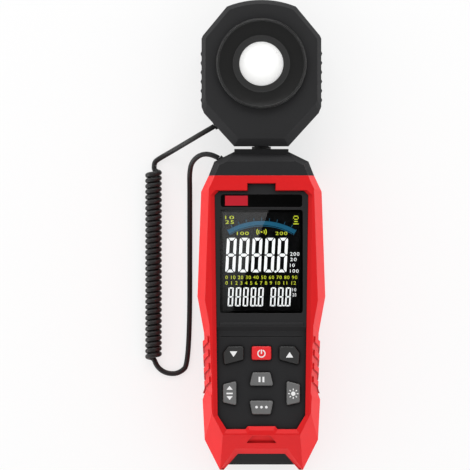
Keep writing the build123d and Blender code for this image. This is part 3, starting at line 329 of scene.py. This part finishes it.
floor_look, tree, output = bare_look("pale_floor")
matt = node(tree, "ShaderNodeBsdfDiffuse", Color=floor_shade)
white = node(tree, "ShaderNodeEmission", Color=pure_white, Strength=1.0)
rays = node(tree, "ShaderNodeLightPath").outputs
seen = maths(tree, "MULTIPLY", rays["Is Camera Ray"], camera_lift)
mirrored = maths(tree, "MAXIMUM", rays["Is Glossy Ray"], rays["Is Transmission Ray"])
share = maths(tree, "MULTIPLY_ADD", mirrored, mirror_lift, seen)
lift = node(tree, "ShaderNodeMixShader", share, matt.outputs[0], white.outputs[0])
fill(tree, output, Surface=lift.outputs[0])
floor.data.materials.append(floor_look)

# %% [markdown]
# The photograph has soft light from all round and a little more from the head's end, and the outer
# chamfers are the brightest. A large soft panel and a low strip stand at the head's end, and three more
# strips stand on the table at the left, at the right and at the foot. Those three are no higher than
# the meter, so they reach its outer chamfers and pass under its face.

# %% Lamps
strip_z = 0.019                 # the middle of the strips on the table
strip_height = 0.034
strip_length = 0.8


def panel(name, place, size, power, target=(0.0, 0.0, 0.02)):
    """A soft rectangular lamp at a place in metres, turned towards the meter."""
    data = bpy.data.lights.new(name, "AREA")
    data.shape = "RECTANGLE"
    data.size, data.size_y = size
    data.energy = power
    lamp = add_object(name, data)
    lamp.location = place
    lamp.rotation_mode = "QUATERNION"
    lamp.rotation_quaternion = (Vector(place) - Vector(target)).to_track_quat("Z", "Y")
    lamp.visible_camera = False


panel("head_end_panel", (0.0, 0.9, 0.95), (1.0, 0.5), 3.5)
panel("head_end_strip", (-0.12, 1.0, 0.15), (1.0, 0.14), 4.5)
for name, x, y, power in (("left_strip", -0.4, -0.05, 1.3), ("right_strip", 0.4, -0.03, 1.0),
                          ("foot_strip", 0.0, -0.5, 0.25)):
    panel(name, (x, y, strip_z), (strip_length, strip_height), power, target=(0.0, 0.0, strip_z))

# %% [markdown]
# Straight above, where the camera hangs, the studio is dark: that keeps the flat black faces and the
# window black. So the world is a pale room with a dark ceiling and dim walls close to the table. How
# far up a ray looks is the height of its direction, which runs from 0 at the table to 1 overhead.

# %% Room
walls_brighten, wall_light = (0.12, 0.45), (0.2, 1.05)
ceiling_darkens, ceiling_light = (0.86, 0.97), (1.0, 0.02)

world = bpy.data.worlds.new("studio")
world.use_nodes = True
room = world.node_tree
direction = node(room, "ShaderNodeSeparateXYZ", node(room, "ShaderNodeTexCoord").outputs["Generated"])
walls = ramp(room, direction.outputs["Z"], walls_brighten, wall_light)
ceiling = ramp(room, direction.outputs["Z"], ceiling_darkens, ceiling_light)
fill(room, room.nodes["Background"], Color=pure_white, Strength=maths(room, "MULTIPLY", walls, ceiling))
bpy.context.scene.world = world
bpy.context.scene.view_settings.view_transform = "Standard"

# %% [markdown]
# One more thing stands in that dark ceiling: a small lit card. The window mirrors it, and the card's
# slanted side draws the edge of the gloss that crosses the display. Light that comes down from the
# camera is mirrored nearly straight up again, so each corner of the card is found by following that ray.

# %% Gloss card
card_height = 1.5
card_outline = ((3.0, 10.3), (-13.4, -35.0), (-22.0, -35.0), (-22.0, 10.3))     # as the window shows it
card_fades, card_light = (-0.05, 0.014), (0.13, 0.8)    # from the foot to the head end, in metres
glass_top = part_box("display_window")[1].z


def mirrored_place(x, y):
    """Where a camera ray, mirrored in the window at a place in millimetres, meets the card's level."""
    reach = (card_height - glass_top) / (camera.location.z - glass_top)
    spot = Vector((x * mm, y * mm))
    spot += (spot - camera.location.xy) * reach
    return (spot.x, spot.y, card_height)


maker = bmesh.new()
maker.faces.new([maker.verts.new(mirrored_place(x, y)) for x, y in card_outline])
card = add_object("gloss_card", mesh_from("gloss_card", maker))
card.visible_camera = False
card.visible_shadow = False
card.visible_diffuse = False

card_look, tree, output = bare_look("card_light")
along = node(tree, "ShaderNodeSeparateXYZ", node(tree, "ShaderNodeTexCoord").outputs["Object"])
shine = node(tree, "ShaderNodeEmission", Strength=ramp(tree, along.outputs["Y"], card_fades, card_light))
fill(tree, output, Surface=shine.outputs[0])
card.data.materials.append(card_look)

# %% [markdown]
# Moulded plastic is never quite even. Three effects serve most finishes here, and each is a node group
# with its own inputs, used again with other values. The first is a fine grain from the etched mould:
# soft cells and clouds, whose size is given in millimetres.

# %% Grain group
NUMBER = "NodeSocketFloat"
COLOUR = "NodeSocketColor"
VECTOR = "NodeSocketVector"


def new_group(name, inputs, outputs):
    """An empty shader node group with named sockets: its tree, its input node and its output node."""
    group = bpy.data.node_groups.new(name, "ShaderNodeTree")
    for title, kind, value in inputs:
        socket = group.interface.new_socket(title, in_out="INPUT", socket_type=kind)
        socket.default_value = value
    for title, kind in outputs:
        group.interface.new_socket(title, in_out="OUTPUT", socket_type=kind)
    return group, group.nodes.new("NodeGroupInput"), group.nodes.new("NodeGroupOutput")


grain, given, result = new_group("mould_grain", [("Grain Size", NUMBER, 0.4)], [("Height", NUMBER)])
place = node(grain, "ShaderNodeTexCoord").outputs["Object"]
per_metre = maths(grain, "DIVIDE", 1 / mm, given.outputs["Grain Size"])
cells = node(grain, "ShaderNodeTexVoronoi", feature="SMOOTH_F1", Smoothness=0.8, Vector=place,
             Scale=per_metre)
clouds = node(grain, "ShaderNodeTexNoise", Detail=2.0, Roughness=0.6, Vector=place, Scale=per_metre)
fill(grain, result, Height=maths(grain, "ADD", cells.outputs["Distance"], clouds.outputs["Fac"]))

# %% [markdown]
# The second effect is a slow drift of tone and gloss, where hands and wipes have been, with fine specks
# in it. The noise is centred on zero, so it makes some places darker and others lighter.

# %% Tone group
patches_per_metre, specks_per_metre = 45.0, 900.0
speck_share = 0.4
tone_inputs = [("Colour", COLOUR, (0.5, 0.5, 0.5, 1.0)), ("Edge", NUMBER, 0.0),
               ("Edge Colour", COLOUR, (0.6, 0.6, 0.6, 1.0)), ("Drift", NUMBER, 0.1),
               ("Roughness", NUMBER, 0.5), ("Roughness Drift", NUMBER, 0.08)]
tone, given, result = new_group("tone_drift", tone_inputs, [("Colour", COLOUR), ("Roughness", NUMBER)])
place = node(tone, "ShaderNodeTexCoord").outputs["Object"]
patches = node(tone, "ShaderNodeTexNoise", Scale=patches_per_metre, Detail=4.0, Roughness=0.55, Vector=place)
specks = node(tone, "ShaderNodeTexNoise", Scale=specks_per_metre, Detail=2.0, Roughness=0.7, Vector=place)
mixed = node(tone, "ShaderNodeMix", data_type="FLOAT", Factor=speck_share, A=patches.outputs["Fac"],
             B=specks.outputs["Fac"])
centred = maths(tone, "SUBTRACT", mixed.outputs["Result"], 0.5)
swing = maths(tone, "MULTIPLY_ADD", centred, given.outputs["Drift"], 1.0)
toned = node(tone, "ShaderNodeVectorMath", given.outputs["Colour"], operation="SCALE", Scale=swing)
colour = mix_colours(tone, given.outputs["Edge"], toned.outputs[0], given.outputs["Edge Colour"])
sheen = maths(tone, "MULTIPLY_ADD", centred, given.outputs["Roughness Drift"], given.outputs["Roughness"])
fill(tone, result, Colour=colour, Roughness=sheen)

# %% [markdown]
# The third effect lightens the edges, partly as wear and partly as a painted highlight along them. A bevel
# node rounds the normal near an edge, so the edge is where the rounded normal and the plain one no longer
# agree.

# %% Edge group
edge, given, result = new_group(
    "wear_and_highlight_edge", [("Rounded Normal", VECTOR, (0.0, 0.0, 1.0)), ("Strength", NUMBER, 1.0)], [("Edge", NUMBER)])
face_normal = node(edge, "ShaderNodeNewGeometry").outputs["Normal"]
agree = node(edge, "ShaderNodeVectorMath", given.outputs["Rounded Normal"], face_normal,
             operation="DOT_PRODUCT")
apart = maths(edge, "SUBTRACT", 1.0, agree.outputs["Value"], use_clamp=True)
fill(edge, result, Edge=maths(edge, "MULTIPLY", apart, given.outputs["Strength"], use_clamp=True))

# %% [markdown]
# Colours are written as web codes, as a picture editor shows them. The renderer works with linear
# light, so each code is converted on its way into a node.

# %% Colours
def linear(code):
    """The linear colour of a web colour such as e22325."""
    parts = [int(code[i:i + 2], 16) / 255 for i in (0, 2, 4)]
    return (*[p / 12.92 if p <= 0.04045 else ((p + 0.055) / 1.055) ** 2.4 for p in parts], 1.0)


def tinted(tree, code, **values):
    """A tone group about a web colour."""
    return node(tree, "ShaderNodeGroup", node_tree=tone, Colour=linear(code), **values).outputs


# %% [markdown]
# Every plastic and rubber piece then uses the same small recipe. The colour is the one seen in the
# photograph, the bevel rounds the edges in the shading, and the bump carries the grain. Where a finish has
# painted shade, an occlusion node finds its corners and grooves and darkens the colour there, as painted
# shade.

# %% Moulded finish
# The painted shade in corners: how far the occlusion looks, where the shade starts and how dark it gets.
corner_reach = 3.0 * mm         # how far the occlusion looks for a neighbouring wall
corner_span = (1.0, 0.2)        # from open to covered
corner_shade = 0.4              # of the colour, where a corner is fully covered


def moulded(name, code, edge_code, roughness, grain_size, grain_depth, rounding=0.3, wear_and_highlight=0.6, drift=0.25,
            specular=0.5, coat=0.0, painted_shade=0.0):
    """A moulded plastic or rubber finish, with painted shade darkening its corners by the share given as
    painted shade. Sizes in millimetres.
    """
    look, tree, shader = new_look(name, Specular_IOR_Level=specular, Coat_Weight=coat, Coat_Roughness=0.08)
    soft = node(tree, "ShaderNodeBevel", samples=4, Radius=rounding * mm).outputs["Normal"]
    # Painted highlight and wear: the edges get a lighter colour.
    lightened_edge = node(tree, "ShaderNodeGroup", node_tree=edge, Strength=wear_and_highlight, Rounded_Normal=soft)
    tint = tinted(tree, code, Edge_Colour=linear(edge_code), Drift=drift, Roughness=roughness,
                  Edge=lightened_edge.outputs["Edge"])
    colour = tint["Colour"]
    # Painted shade: corners and grooves that the occlusion finds covered get a darker colour.
    if painted_shade:
        corners = node(tree, "ShaderNodeAmbientOcclusion", samples=8, Distance=corner_reach)
        covered = ramp(tree, corners.outputs["AO"], corner_span, (0.0, painted_shade))
        colour = mix_colours(tree, covered, colour, [v * corner_shade for v in linear(code)[:3]] + [1.0])
    etched = node(tree, "ShaderNodeGroup", node_tree=grain, Grain_Size=grain_size)
    bump = node(tree, "ShaderNodeBump", Strength=0.6, Distance=grain_depth * mm,
                Height=etched.outputs["Height"], Normal=soft)
    fill(tree, shader, Base_Color=colour, Roughness=tint["Roughness"], Normal=bump.outputs["Normal"])
    return look


def finish(look, *names):
    """Gives pieces of the model a finish."""
    for name in names:
        slots = nodes[name].data.materials
        slots.clear()
        slots.append(look)


# %% [markdown]
# The jackets are red rubber over matt black shells. The head's shells are a little less matt, and the
# neck, the ring and the cord have a soft sheen.

# %% Shell finishes
# The jackets and the black shells have painted shade darkening their corners.
red_rubber = moulded("red_rubber", "dc1a1d", "f0403e", roughness=0.5, grain_size=0.35, grain_depth=0.02,
                     specular=0.2, painted_shade=0.9)
# The black shells, the head shells and the ring have strong edge lightening: mostly a painted highlight along
# their edges, with a little wear.
black_plastic = moulded("black_plastic", "2e2e2f", "545454", roughness=0.85, grain_size=0.28,
                        grain_depth=0.02, rounding=0.2, wear_and_highlight=6.0, specular=0.03, painted_shade=1.0)
head_plastic = moulded("head_plastic", "2d2d2e", "4e4e4e", roughness=0.6, grain_size=0.28,
                       grain_depth=0.02, wear_and_highlight=3.0, specular=0.12)
# Painted light: the neck is a lighter grey than its black plastic, to lift it out of the shade between the
# head and the body.
neck_plastic = moulded("neck_plastic", "4a4a4a", "444444", roughness=0.45, grain_size=0.28,
                       grain_depth=0.02, specular=0.3)
ring_plastic = moulded("ring_plastic", "1d1d1d", "8a8a8a", roughness=0.4, grain_size=0.22,
                       grain_depth=0.008, rounding=0.45, wear_and_highlight=3.0, specular=0.1)
cord_rubber = moulded("cord_rubber", "202020", "383838", roughness=0.45, grain_size=0.2,
                      grain_depth=0.01, rounding=0.1, specular=0.25)
finish(red_rubber, "front_bumper", "rear_bumper")
finish(black_plastic, "front_shell", "rear_shell", "battery_door")
finish(head_plastic, "head_front_shell", "head_rear_shell")
finish(neck_plastic, "neck_socket", "neck_plug")
finish(ring_plastic, "sensor_ring")
finish(cord_rubber, "cord_body_lead", "cord_head_lead", "cord_coil", "body_cord_grommet", "head_cord_grommet")
for piece in (body_lead, curls, head_lead):
    piece.data.materials.clear()
    piece.data.materials.append(cord_rubber)

# %% [markdown]
# The flat collar of the ring round the dome is painted paler: a painted reflection of the white dome. A piece
# can hold two shades where a mask tells them apart: here the mask is the distance from the dome's axis, so
# the paler collar needs no piece of its own.

# %% Painted reflection on the collar round the dome
reflection_rim = (11.4 * mm, 11.8 * mm)     # the radii between which the collar's shade ends
dome_low, dome_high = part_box("diffuser_dome")
dome_axis = (0.0, (dome_low.y + dome_high.y) / 2, 0.0)
tree = ring_plastic.node_tree
ring_shader = tree.nodes["Principled BSDF"]
place = node(tree, "ShaderNodeTexCoord").outputs["Object"]
flat_place = node(tree, "ShaderNodeVectorMath", place, (1.0, 1.0, 0.0), operation="MULTIPLY")
from_axis = node(tree, "ShaderNodeVectorMath", flat_place.outputs[0], dome_axis, operation="DISTANCE")
on_painted_reflection = ramp(tree, from_axis.outputs["Value"], reflection_rim, (1.0, 0.0))
ring_colour = ring_shader.inputs["Base Color"].links[0].from_socket
# Painted reflection: the collar takes a paler grey.
fill(tree, ring_shader, Base_Color=mix_colours(tree, on_painted_reflection, ring_colour, linear("3a3a3a")))

# %% [markdown]
# Four keys are grey, two are nearly black and the power key is red. All have a fine grain like the
# shells'.

# %% Key finishes
grey_key = moulded("grey_key", "686868", "909090", roughness=0.5, grain_size=0.3, grain_depth=0.02)
dark_key = moulded("dark_key", "262626", "5c5c5c", roughness=0.5, grain_size=0.3, grain_depth=0.02)
red_key = moulded("red_key", "e8262b", "ff7a78", roughness=0.42, grain_size=0.3, grain_depth=0.015)
finish(grey_key, "key_hold", "key_mode", "key_range", "key_unit")
finish(dark_key, "key_down", "key_up")
finish(red_key, "key_power")

# %% [markdown]
# Inside are boards of green laminate, black chips, a white display holder, a grey rubber mat and three
# wrapped cells. They show when the door or the head comes off. The label strip and the display are
# black and glossy, with hardly any grain.

# %% Inner finishes
pad_plastic = moulded("white_plastic", "e6e6e2", "f4f4f2", roughness=0.45, grain_size=0.3, grain_depth=0.01)
mat_rubber = moulded("grey_rubber", "5e6064", "74767a", roughness=0.6, grain_size=0.3, grain_depth=0.015)
board_green = moulded("board_green", "0f5a34", "1d7a48", roughness=0.35, grain_size=0.5, grain_depth=0.01,
                      coat=0.3)
chip_black = moulded("chip_black", "1a1a1a", "333333", roughness=0.5, grain_size=0.2, grain_depth=0.01)
cell_wrap = moulded("cell_wrap", "2a4a7c", "5a7cae", roughness=0.25, grain_size=0.6, grain_depth=0.005,
                    coat=0.4)
strip_gloss = moulded("strip_gloss", "030303", "101010", roughness=0.12, grain_size=0.8,
                      grain_depth=0.002, rounding=0.15, specular=0.3)
lcd_black = moulded("lcd_black", "050506", "101012", roughness=0.25, grain_size=0.8, grain_depth=0.001,
                    rounding=0.1, specular=0.3)
finish(pad_plastic, "lcd_holder")
finish(mat_rubber, "keypad_mat", "zebra_strips")
finish(board_green, "main_board", "sensor_board")
finish(chip_black, "board_chips", "buzzer", "photodiode")
finish(cell_wrap, "battery_cells")
finish(strip_gloss, "label_strip")
finish(lcd_black, "lcd_module")

# %% [markdown]
# Springs, contact plates, the clip and the screws are zinc-plated steel, and the pads under the keys
# are gilt. The scratches are one noise drawn out along the meter.

# %% Metals
def metal(name, code, roughness, brush_scale=2600.0, edge_radius=0.12, scratch_depth=0.01):
    """A brushed or plated metal: fine scratches drawn out along one way. Radius and depth in millimetres."""
    look, tree, shader = new_look(name, Metallic=1.0)
    place = node(tree, "ShaderNodeTexCoord").outputs["Object"]
    stretch = node(tree, "ShaderNodeMapping", Scale=(1.0, 0.08, 1.0), Vector=place)
    scratches = node(tree, "ShaderNodeTexNoise", Scale=brush_scale, Detail=3.0,
                     Vector=stretch.outputs["Vector"])
    tint = tinted(tree, code, Roughness=roughness)
    soft = node(tree, "ShaderNodeBevel", samples=4, Radius=edge_radius * mm)
    bump = node(tree, "ShaderNodeBump", Strength=0.4, Distance=scratch_depth * mm,
                Height=scratches.outputs["Fac"], Normal=soft.outputs["Normal"])
    fill(tree, shader, Base_Color=tint["Colour"], Roughness=tint["Roughness"], Normal=bump.outputs["Normal"])
    return look


finish(metal("zinc_steel", "b9bcc0", roughness=0.32), "housing_screws", "head_screws", "battery_door_screw",
       "neck_clip", "battery_springs", "battery_contacts")
finish(metal("gilt_contact", "d8b35a", roughness=0.28), "key_contacts")

# %% [markdown]
# The window is clear acrylic with a hard, glossy face, and the filter over the photodiode is a thin
# bluish glass. Both let light through, so they are plain glass with hardly any roughness.

# %% Clear finishes
def clear(name, code, roughness, index):
    """A clear plastic or glass, with a faint drift in its tint."""
    look, tree, shader = new_look(name, Transmission_Weight=1.0, IOR=index, Roughness=roughness)
    fill(tree, shader, Base_Color=tinted(tree, code, Drift=0.04)["Colour"])
    return look


finish(clear("window_acrylic", "f2f4f6", roughness=0.0, index=1.49), "display_window")
finish(clear("filter_glass", "8fb8c8", roughness=0.01, index=1.52), "correction_filter")

# %% [markdown]
# The dome is opal acrylic: light enters it and comes out a little further on, which is why it looks evenly
# white. Subsurface scattering over a few millimetres gives that, under a satin skin. A glow of its own is
# painted light: it brightens the dome's shaded sides so that the dome looks evenly white, though it is no
# lamp.

# %% Opal dome
opal = moulded("opal_acrylic", "dededc", "e8e8e8", roughness=0.32, grain_size=0.6, grain_depth=0.002,
               rounding=0.2, wear_and_highlight=0.1, drift=0.03)
# Painted light: the emission makes the dome glow.
fill(opal.node_tree, opal.node_tree.nodes["Principled BSDF"], Subsurface_Weight=1.0,
     Subsurface_Radius=(1.0, 1.0, 1.0), Subsurface_Scale=3.0 * mm, Emission_Color=pure_white,
     Emission_Strength=0.45)
finish(opal, "diffuser_dome")

# %% [markdown]
# The display is a dark glass whose figures light up in white, yellow and blue. A lit area shines with
# its own colour and still takes some light from the room.

# %% Lit finishes
def glowing(name, code, strength):
    """A lit area of the display: it shines evenly, with the slight mottle of a back light."""
    look, tree, shader = new_look(name, Roughness=0.4, Emission_Strength=strength)
    colour = tinted(tree, code, Drift=0.06)["Colour"]
    fill(tree, shader, Base_Color=colour, Emission_Color=colour)
    return look


lit_white = glowing("lit_white", "fdfdfa", strength=0.8)
lit_yellow = glowing("lit_yellow", "ccd42a", strength=0.8)
lit_blue = glowing("lit_blue", "05698c", strength=0.3)

# %% [markdown]
# Every lit area is a flat shape just over the display, pulled up by a hair so that it is a solid. The
# same function serves the printed marks later on.

# %% Flat pieces
lit_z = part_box("lcd_module")[1].z + 0.03 * mm
lit_depth = 0.05 * mm


def piece_from(name, maker, look, body):
    """Puts a bmesh into the scene as a piece that rides on a body."""
    mesh = mesh_from(name, maker)
    mesh.materials.append(look)
    piece = add_object(name, mesh)
    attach(piece, body)
    return piece


def flat_piece(name, outlines, z, depth, look, body="meter"):
    """A group of flat shapes, each an outline in millimetres, made solid by an extrusion."""
    maker = bmesh.new()
    for outline in outlines:
        maker.faces.new([maker.verts.new((x * mm, y * mm, z)) for x, y in outline])
    bmesh.ops.recalc_face_normals(maker, faces=maker.faces[:])
    for face in maker.faces:
        if face.normal.z < 0:
            face.normal_flip()
    lower = bmesh.ops.extrude_face_region(maker, geom=maker.faces[:])
    raised = [v for v in lower["geom"] if isinstance(v, bmesh.types.BMVert)]
    bmesh.ops.translate(maker, verts=raised, vec=(0.0, 0.0, depth))
    bmesh.ops.recalc_face_normals(maker, faces=maker.faces[:])
    return piece_from(name, maker, look, body)


# %% [markdown]
# Each shape is drawn by a small function that returns its outline, in millimetres from the middle of
# the meter.

# %% Outlines
def rectangle(left, top, width, height):
    """The outline of a rectangle."""
    return [(left, top), (left + width, top), (left + width, top - height), (left, top - height)]


def triangle(x, y, width, height):
    """A triangle about a centre, pointing up, or down where the height is negative."""
    return [(x - width / 2, y - height / 2), (x + width / 2, y - height / 2), (x, y + height / 2)]


def disc_outline(x, y, radius, sides=16):
    """The outline of a small disc."""
    return [(x + radius * math.cos(2 * math.pi * i / sides), y + radius * math.sin(2 * math.pi * i / sides))
            for i in range(sides)]


def arc_outline(x, y, inner, outer, first, last, steps):
    """The outline of a band round a centre, from one angle to another, in degrees."""
    angles = [math.radians(first + (last - first) * i / steps) for i in range(steps + 1)]
    rim = [(x + outer * math.cos(a), y + outer * math.sin(a)) for a in angles]
    return rim + [(x + inner * math.cos(a), y + inner * math.sin(a)) for a in reversed(angles)]


# %% [markdown]
# A figure has seven segments with the slanted ends that such segments have. Their corners are given in
# shares of the stroke, so large and small figures come from the same drawing. Only one side, one bar
# and the middle are drawn; the other segments are their mirror images.

# %% Seven segments
def figure(left, top, width, height, stroke, lean=0.052):
    """The seven segments of a figure eight, leaning a little to the right, with dark gaps between them."""
    half = height / 2
    side = [(0.0, -0.5 * stroke), (0.25 * stroke, -0.12 * stroke), (stroke, -1.15 * stroke),
            (stroke, 0.95 * stroke - half), (0.5 * stroke, 0.3 * stroke - half),
            (0.2 * stroke, 0.22 * stroke - half), (0.0, 0.42 * stroke - half)]
    bar = [(0.58 * stroke, 0.0), (width - 0.58 * stroke, 0.0), (width - 1.28 * stroke, -0.95 * stroke),
           (1.28 * stroke, -0.95 * stroke)]
    middle = [(0.57 * stroke, -half), (1.05 * stroke, 0.52 * stroke - half),
              (width - 1.05 * stroke, 0.52 * stroke - half), (width - 0.57 * stroke, -half),
              (width - 1.05 * stroke, -0.52 * stroke - half), (1.05 * stroke, -0.52 * stroke - half)]
    flip = [(x, -height - y) for x, y in side]
    shapes = [side, [(width - x, y) for x, y in side], flip, [(width - x, y) for x, y in flip], bar,
              [(x, -height - y) for x, y in bar], middle]
    return [[(left + x + lean * (y + height), top + y) for x, y in shape] for shape in shapes]


def figure_row(count, left, top, pitch, size):
    """The segments of several figures side by side, each of one width, height and stroke."""
    return [shape for place in range(count) for shape in figure(left + place * pitch, top, *size)]


# %% [markdown]
# The display shows five large figures, and below them a group of five and a group of three small ones.
# Each group has its decimal point.

# %% Large and small figures
large_size, large_pitch, large_top = (4.0, 14.1, 1.18), 5.247, -1.15
shapes = figure_row(5, -14.79, large_top, large_pitch, large_size)
shapes.append(disc_outline(5.74, -14.95, 0.45))
large_figures = flat_piece("large_figures", shapes, lit_z, lit_depth, lit_white)

small_size, small_pitch, small_top = (2.17, 7.75, 0.58), 3.07, -21.4
shapes = figure_row(5, -13.85, small_top, small_pitch, small_size)
shapes += figure_row(3, 3.47, small_top, small_pitch, small_size)
shapes += [disc_outline(x, -28.85, 0.32) for x in (-1.95, 9.16)]
small_figures = flat_piece("small_figures", shapes, lit_z, lit_depth, lit_white)

# %% [markdown]
# Above the figures an arched scale shows the light at a glance. It is a band of blue with ticks that
# stand on its back, all about one centre far below the band.

# %% Arched scale
scale_x, scale_y = 0.1, -22.06
scale_first, scale_last = 120.1, 59.7       # in degrees, from the left end to the right one
band, thin_line = (26.1, 27.8), (25.6, 25.85)       # inner and outer radii
end_bar, tick_mark = (25.6, 28.1), (27.9, 29.1)
tick_count, tick_step = 9, 6.4
shapes = [arc_outline(scale_x, scale_y, *band, scale_first, scale_last, 28),
          arc_outline(scale_x, scale_y, *thin_line, scale_first - 1, scale_last + 1, 28)]
for end in (scale_first, scale_last):
    shapes.append(arc_outline(scale_x, scale_y, *end_bar, end - 0.35, end + 0.35, 1))
for step in range(tick_count):
    tick = 90 + tick_step * (step - tick_count // 2)
    shapes.append(arc_outline(scale_x, scale_y, *tick_mark, tick - 0.2, tick + 0.2, 1))
arched_scale = flat_piece("arched_scale", shapes, lit_z, lit_depth, lit_blue)

# %% [markdown]
# The small marks round the figures are plain numbers, as on any scale. Numbers are text made into a
# mesh, which is then stretched to the height and width that its row should have.

# %% Plain numbers
def numbers(name, rows, z, depth, look):
    """Rows of plain numbers: each row gives its text, left edge, foot, height and width in millimetres."""
    maker = bmesh.new()
    for words, left, foot, height, width in rows:
        data = bpy.data.curves.new(name, "FONT")
        data.body = words
        data.size = 1.0
        data.extrude = 0.5
        data.resolution_u = 3
        data.space_character = 1.15
        mesh = mesh_of(data)
        xs = [v.co.x for v in mesh.vertices]
        ys = [v.co.y for v in mesh.vertices]
        size = (width * mm / (max(xs) - min(xs)), height * mm / (max(ys) - min(ys)), depth)
        place = Matrix.Translation((left * mm, foot * mm, z + depth / 2)) @ Matrix.Diagonal((*size, 1.0))
        mesh.transform(place @ Matrix.Translation((-min(xs), -min(ys), 0.0)))
        maker.from_mesh(mesh)
        bpy.data.meshes.remove(mesh)
    bmesh.ops.remove_doubles(maker, verts=maker.verts[:], dist=0.001 * mm)
    bmesh.ops.recalc_face_normals(maker, faces=maker.faces[:])
    return piece_from(name, maker, look, "meter")


yellow_numbers = numbers("yellow_numbers", [
    ("10", -14.8, 6.5, 1.35, 3.6), ("25", -14.8, 4.55, 1.45, 3.6),
    ("100", -10.0, 0.0, 1.35, 4.8), ("200", 5.7, 0.0, 1.35, 4.9),
    ("0 10 20 30 40 50 60 70 80 90", -14.7, -18.0, 1.4, 29.3),
    ("0 1 2 3 4 5 6 7 8 9 10 11 12", -14.7, -20.3, 1.4, 28.8),
], lit_z, lit_depth, lit_yellow)
white_numbers = numbers("white_numbers", [
    ("200", 11.7, -8.5, 1.5, 3.8), ("20", 11.7, -10.7, 1.4, 2.7), ("10", 11.7, -13.1, 1.4, 1.9),
    ("100", 11.7, -15.4, 1.4, 3.5), ("10", 12.7, -23.0, 1.35, 1.5), ("20", 12.7, -25.1, 1.35, 1.5),
], lit_z, lit_depth, lit_white)

# %% [markdown]
# Two plain signs go with the numbers: a battery with its charge bars, and a sounder with two waves on
# each side.

# %% Display signs
shapes = [rectangle(13.35, 7.9, 1.5, 0.4), rectangle(13.0, 7.45, 0.35, 0.75),
          rectangle(14.85, 7.45, 0.35, 0.75), rectangle(13.0, 4.75, 2.2, 0.4)]
shapes += [rectangle(13.4, 6.6 - 0.9 * bar, 1.4, 0.4) for bar in range(2)]
battery_sign = flat_piece("battery_sign", shapes, lit_z, lit_depth, lit_yellow)

sounder_x, sounder_y = 0.05, 1.25
shapes = [disc_outline(sounder_x, sounder_y, 0.34)]
for radius in (1.15, 1.95):
    for first, last in ((145, 215), (-35, 35)):
        shapes.append(arc_outline(sounder_x, sounder_y, radius - 0.17, radius + 0.17, first, last, 8))
sounder_sign = flat_piece("sounder_sign", shapes, lit_z, lit_depth, lit_yellow)

# %% [markdown]
# The strip over the display is glossy black with a plain red block at its left. Such a block, like the
# signs on the keys, is a thin layer of ink on the surface.

# %% Ink and the red block
ink_red = moulded("ink_red", "c3182a", "e04040", roughness=0.35, grain_size=0.8, grain_depth=0.001,
                  rounding=0.05)
ink_white = moulded("ink_white", "f0f0f0", "ffffff", roughness=0.5, grain_size=0.4, grain_depth=0.002,
                    rounding=0.03, wear_and_highlight=0.1, drift=0.05)
ink_depth = 0.04 * mm
strip_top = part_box("label_strip")[1].z
block = rectangle(-14.85, 16.05, 9.25, 4.05)
strip_block = flat_piece("strip_block", [block], strip_top, ink_depth, ink_red)

# %% [markdown]
# The keys carry white signs: triangles, two bars, three dots, a sun, and the common power sign. Each
# sign rides on its key, so it moves when the key is pressed.

# %% Key signs
def key_sign(key, shapes):
    """White signs printed on top of a key."""
    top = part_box(key)[1].z
    piece = flat_piece(key + "_sign", shapes, top, ink_depth, ink_white, key)


key_sign("key_down", [triangle(-11.4, -48.65, 3.1, -2.3)])
key_sign("key_up", [triangle(11.5, -48.9, 3.0, 2.3)])
key_sign("key_power", [arc_outline(0.0, -48.4, 1.24, 1.69, 112, 428, 28),
                       rectangle(-0.24, -46.8, 0.48, 1.75)])
key_sign("key_hold", [rectangle(-1.2, -57.9, 0.8, 2.2), rectangle(0.4, -57.9, 0.8, 2.2)])
key_sign("key_mode", [disc_outline(x, -70.3, 0.55) for x in (-2.0, 0.0, 2.0)])
key_sign("key_range", [triangle(-13.0, -62.4, 2.6, 1.6), rectangle(-14.3, -64.4, 2.6, 0.6),
                       triangle(-13.0, -66.6, 2.6, -1.6)])
sun_x, sun_y = 13.0, -64.8
beams = [arc_outline(sun_x, sun_y, 1.35, 2.1, 45 * i - 7, 45 * i + 7, 1) for i in range(8)]
key_sign("key_unit", [disc_outline(sun_x, sun_y, 0.9)] + beams)
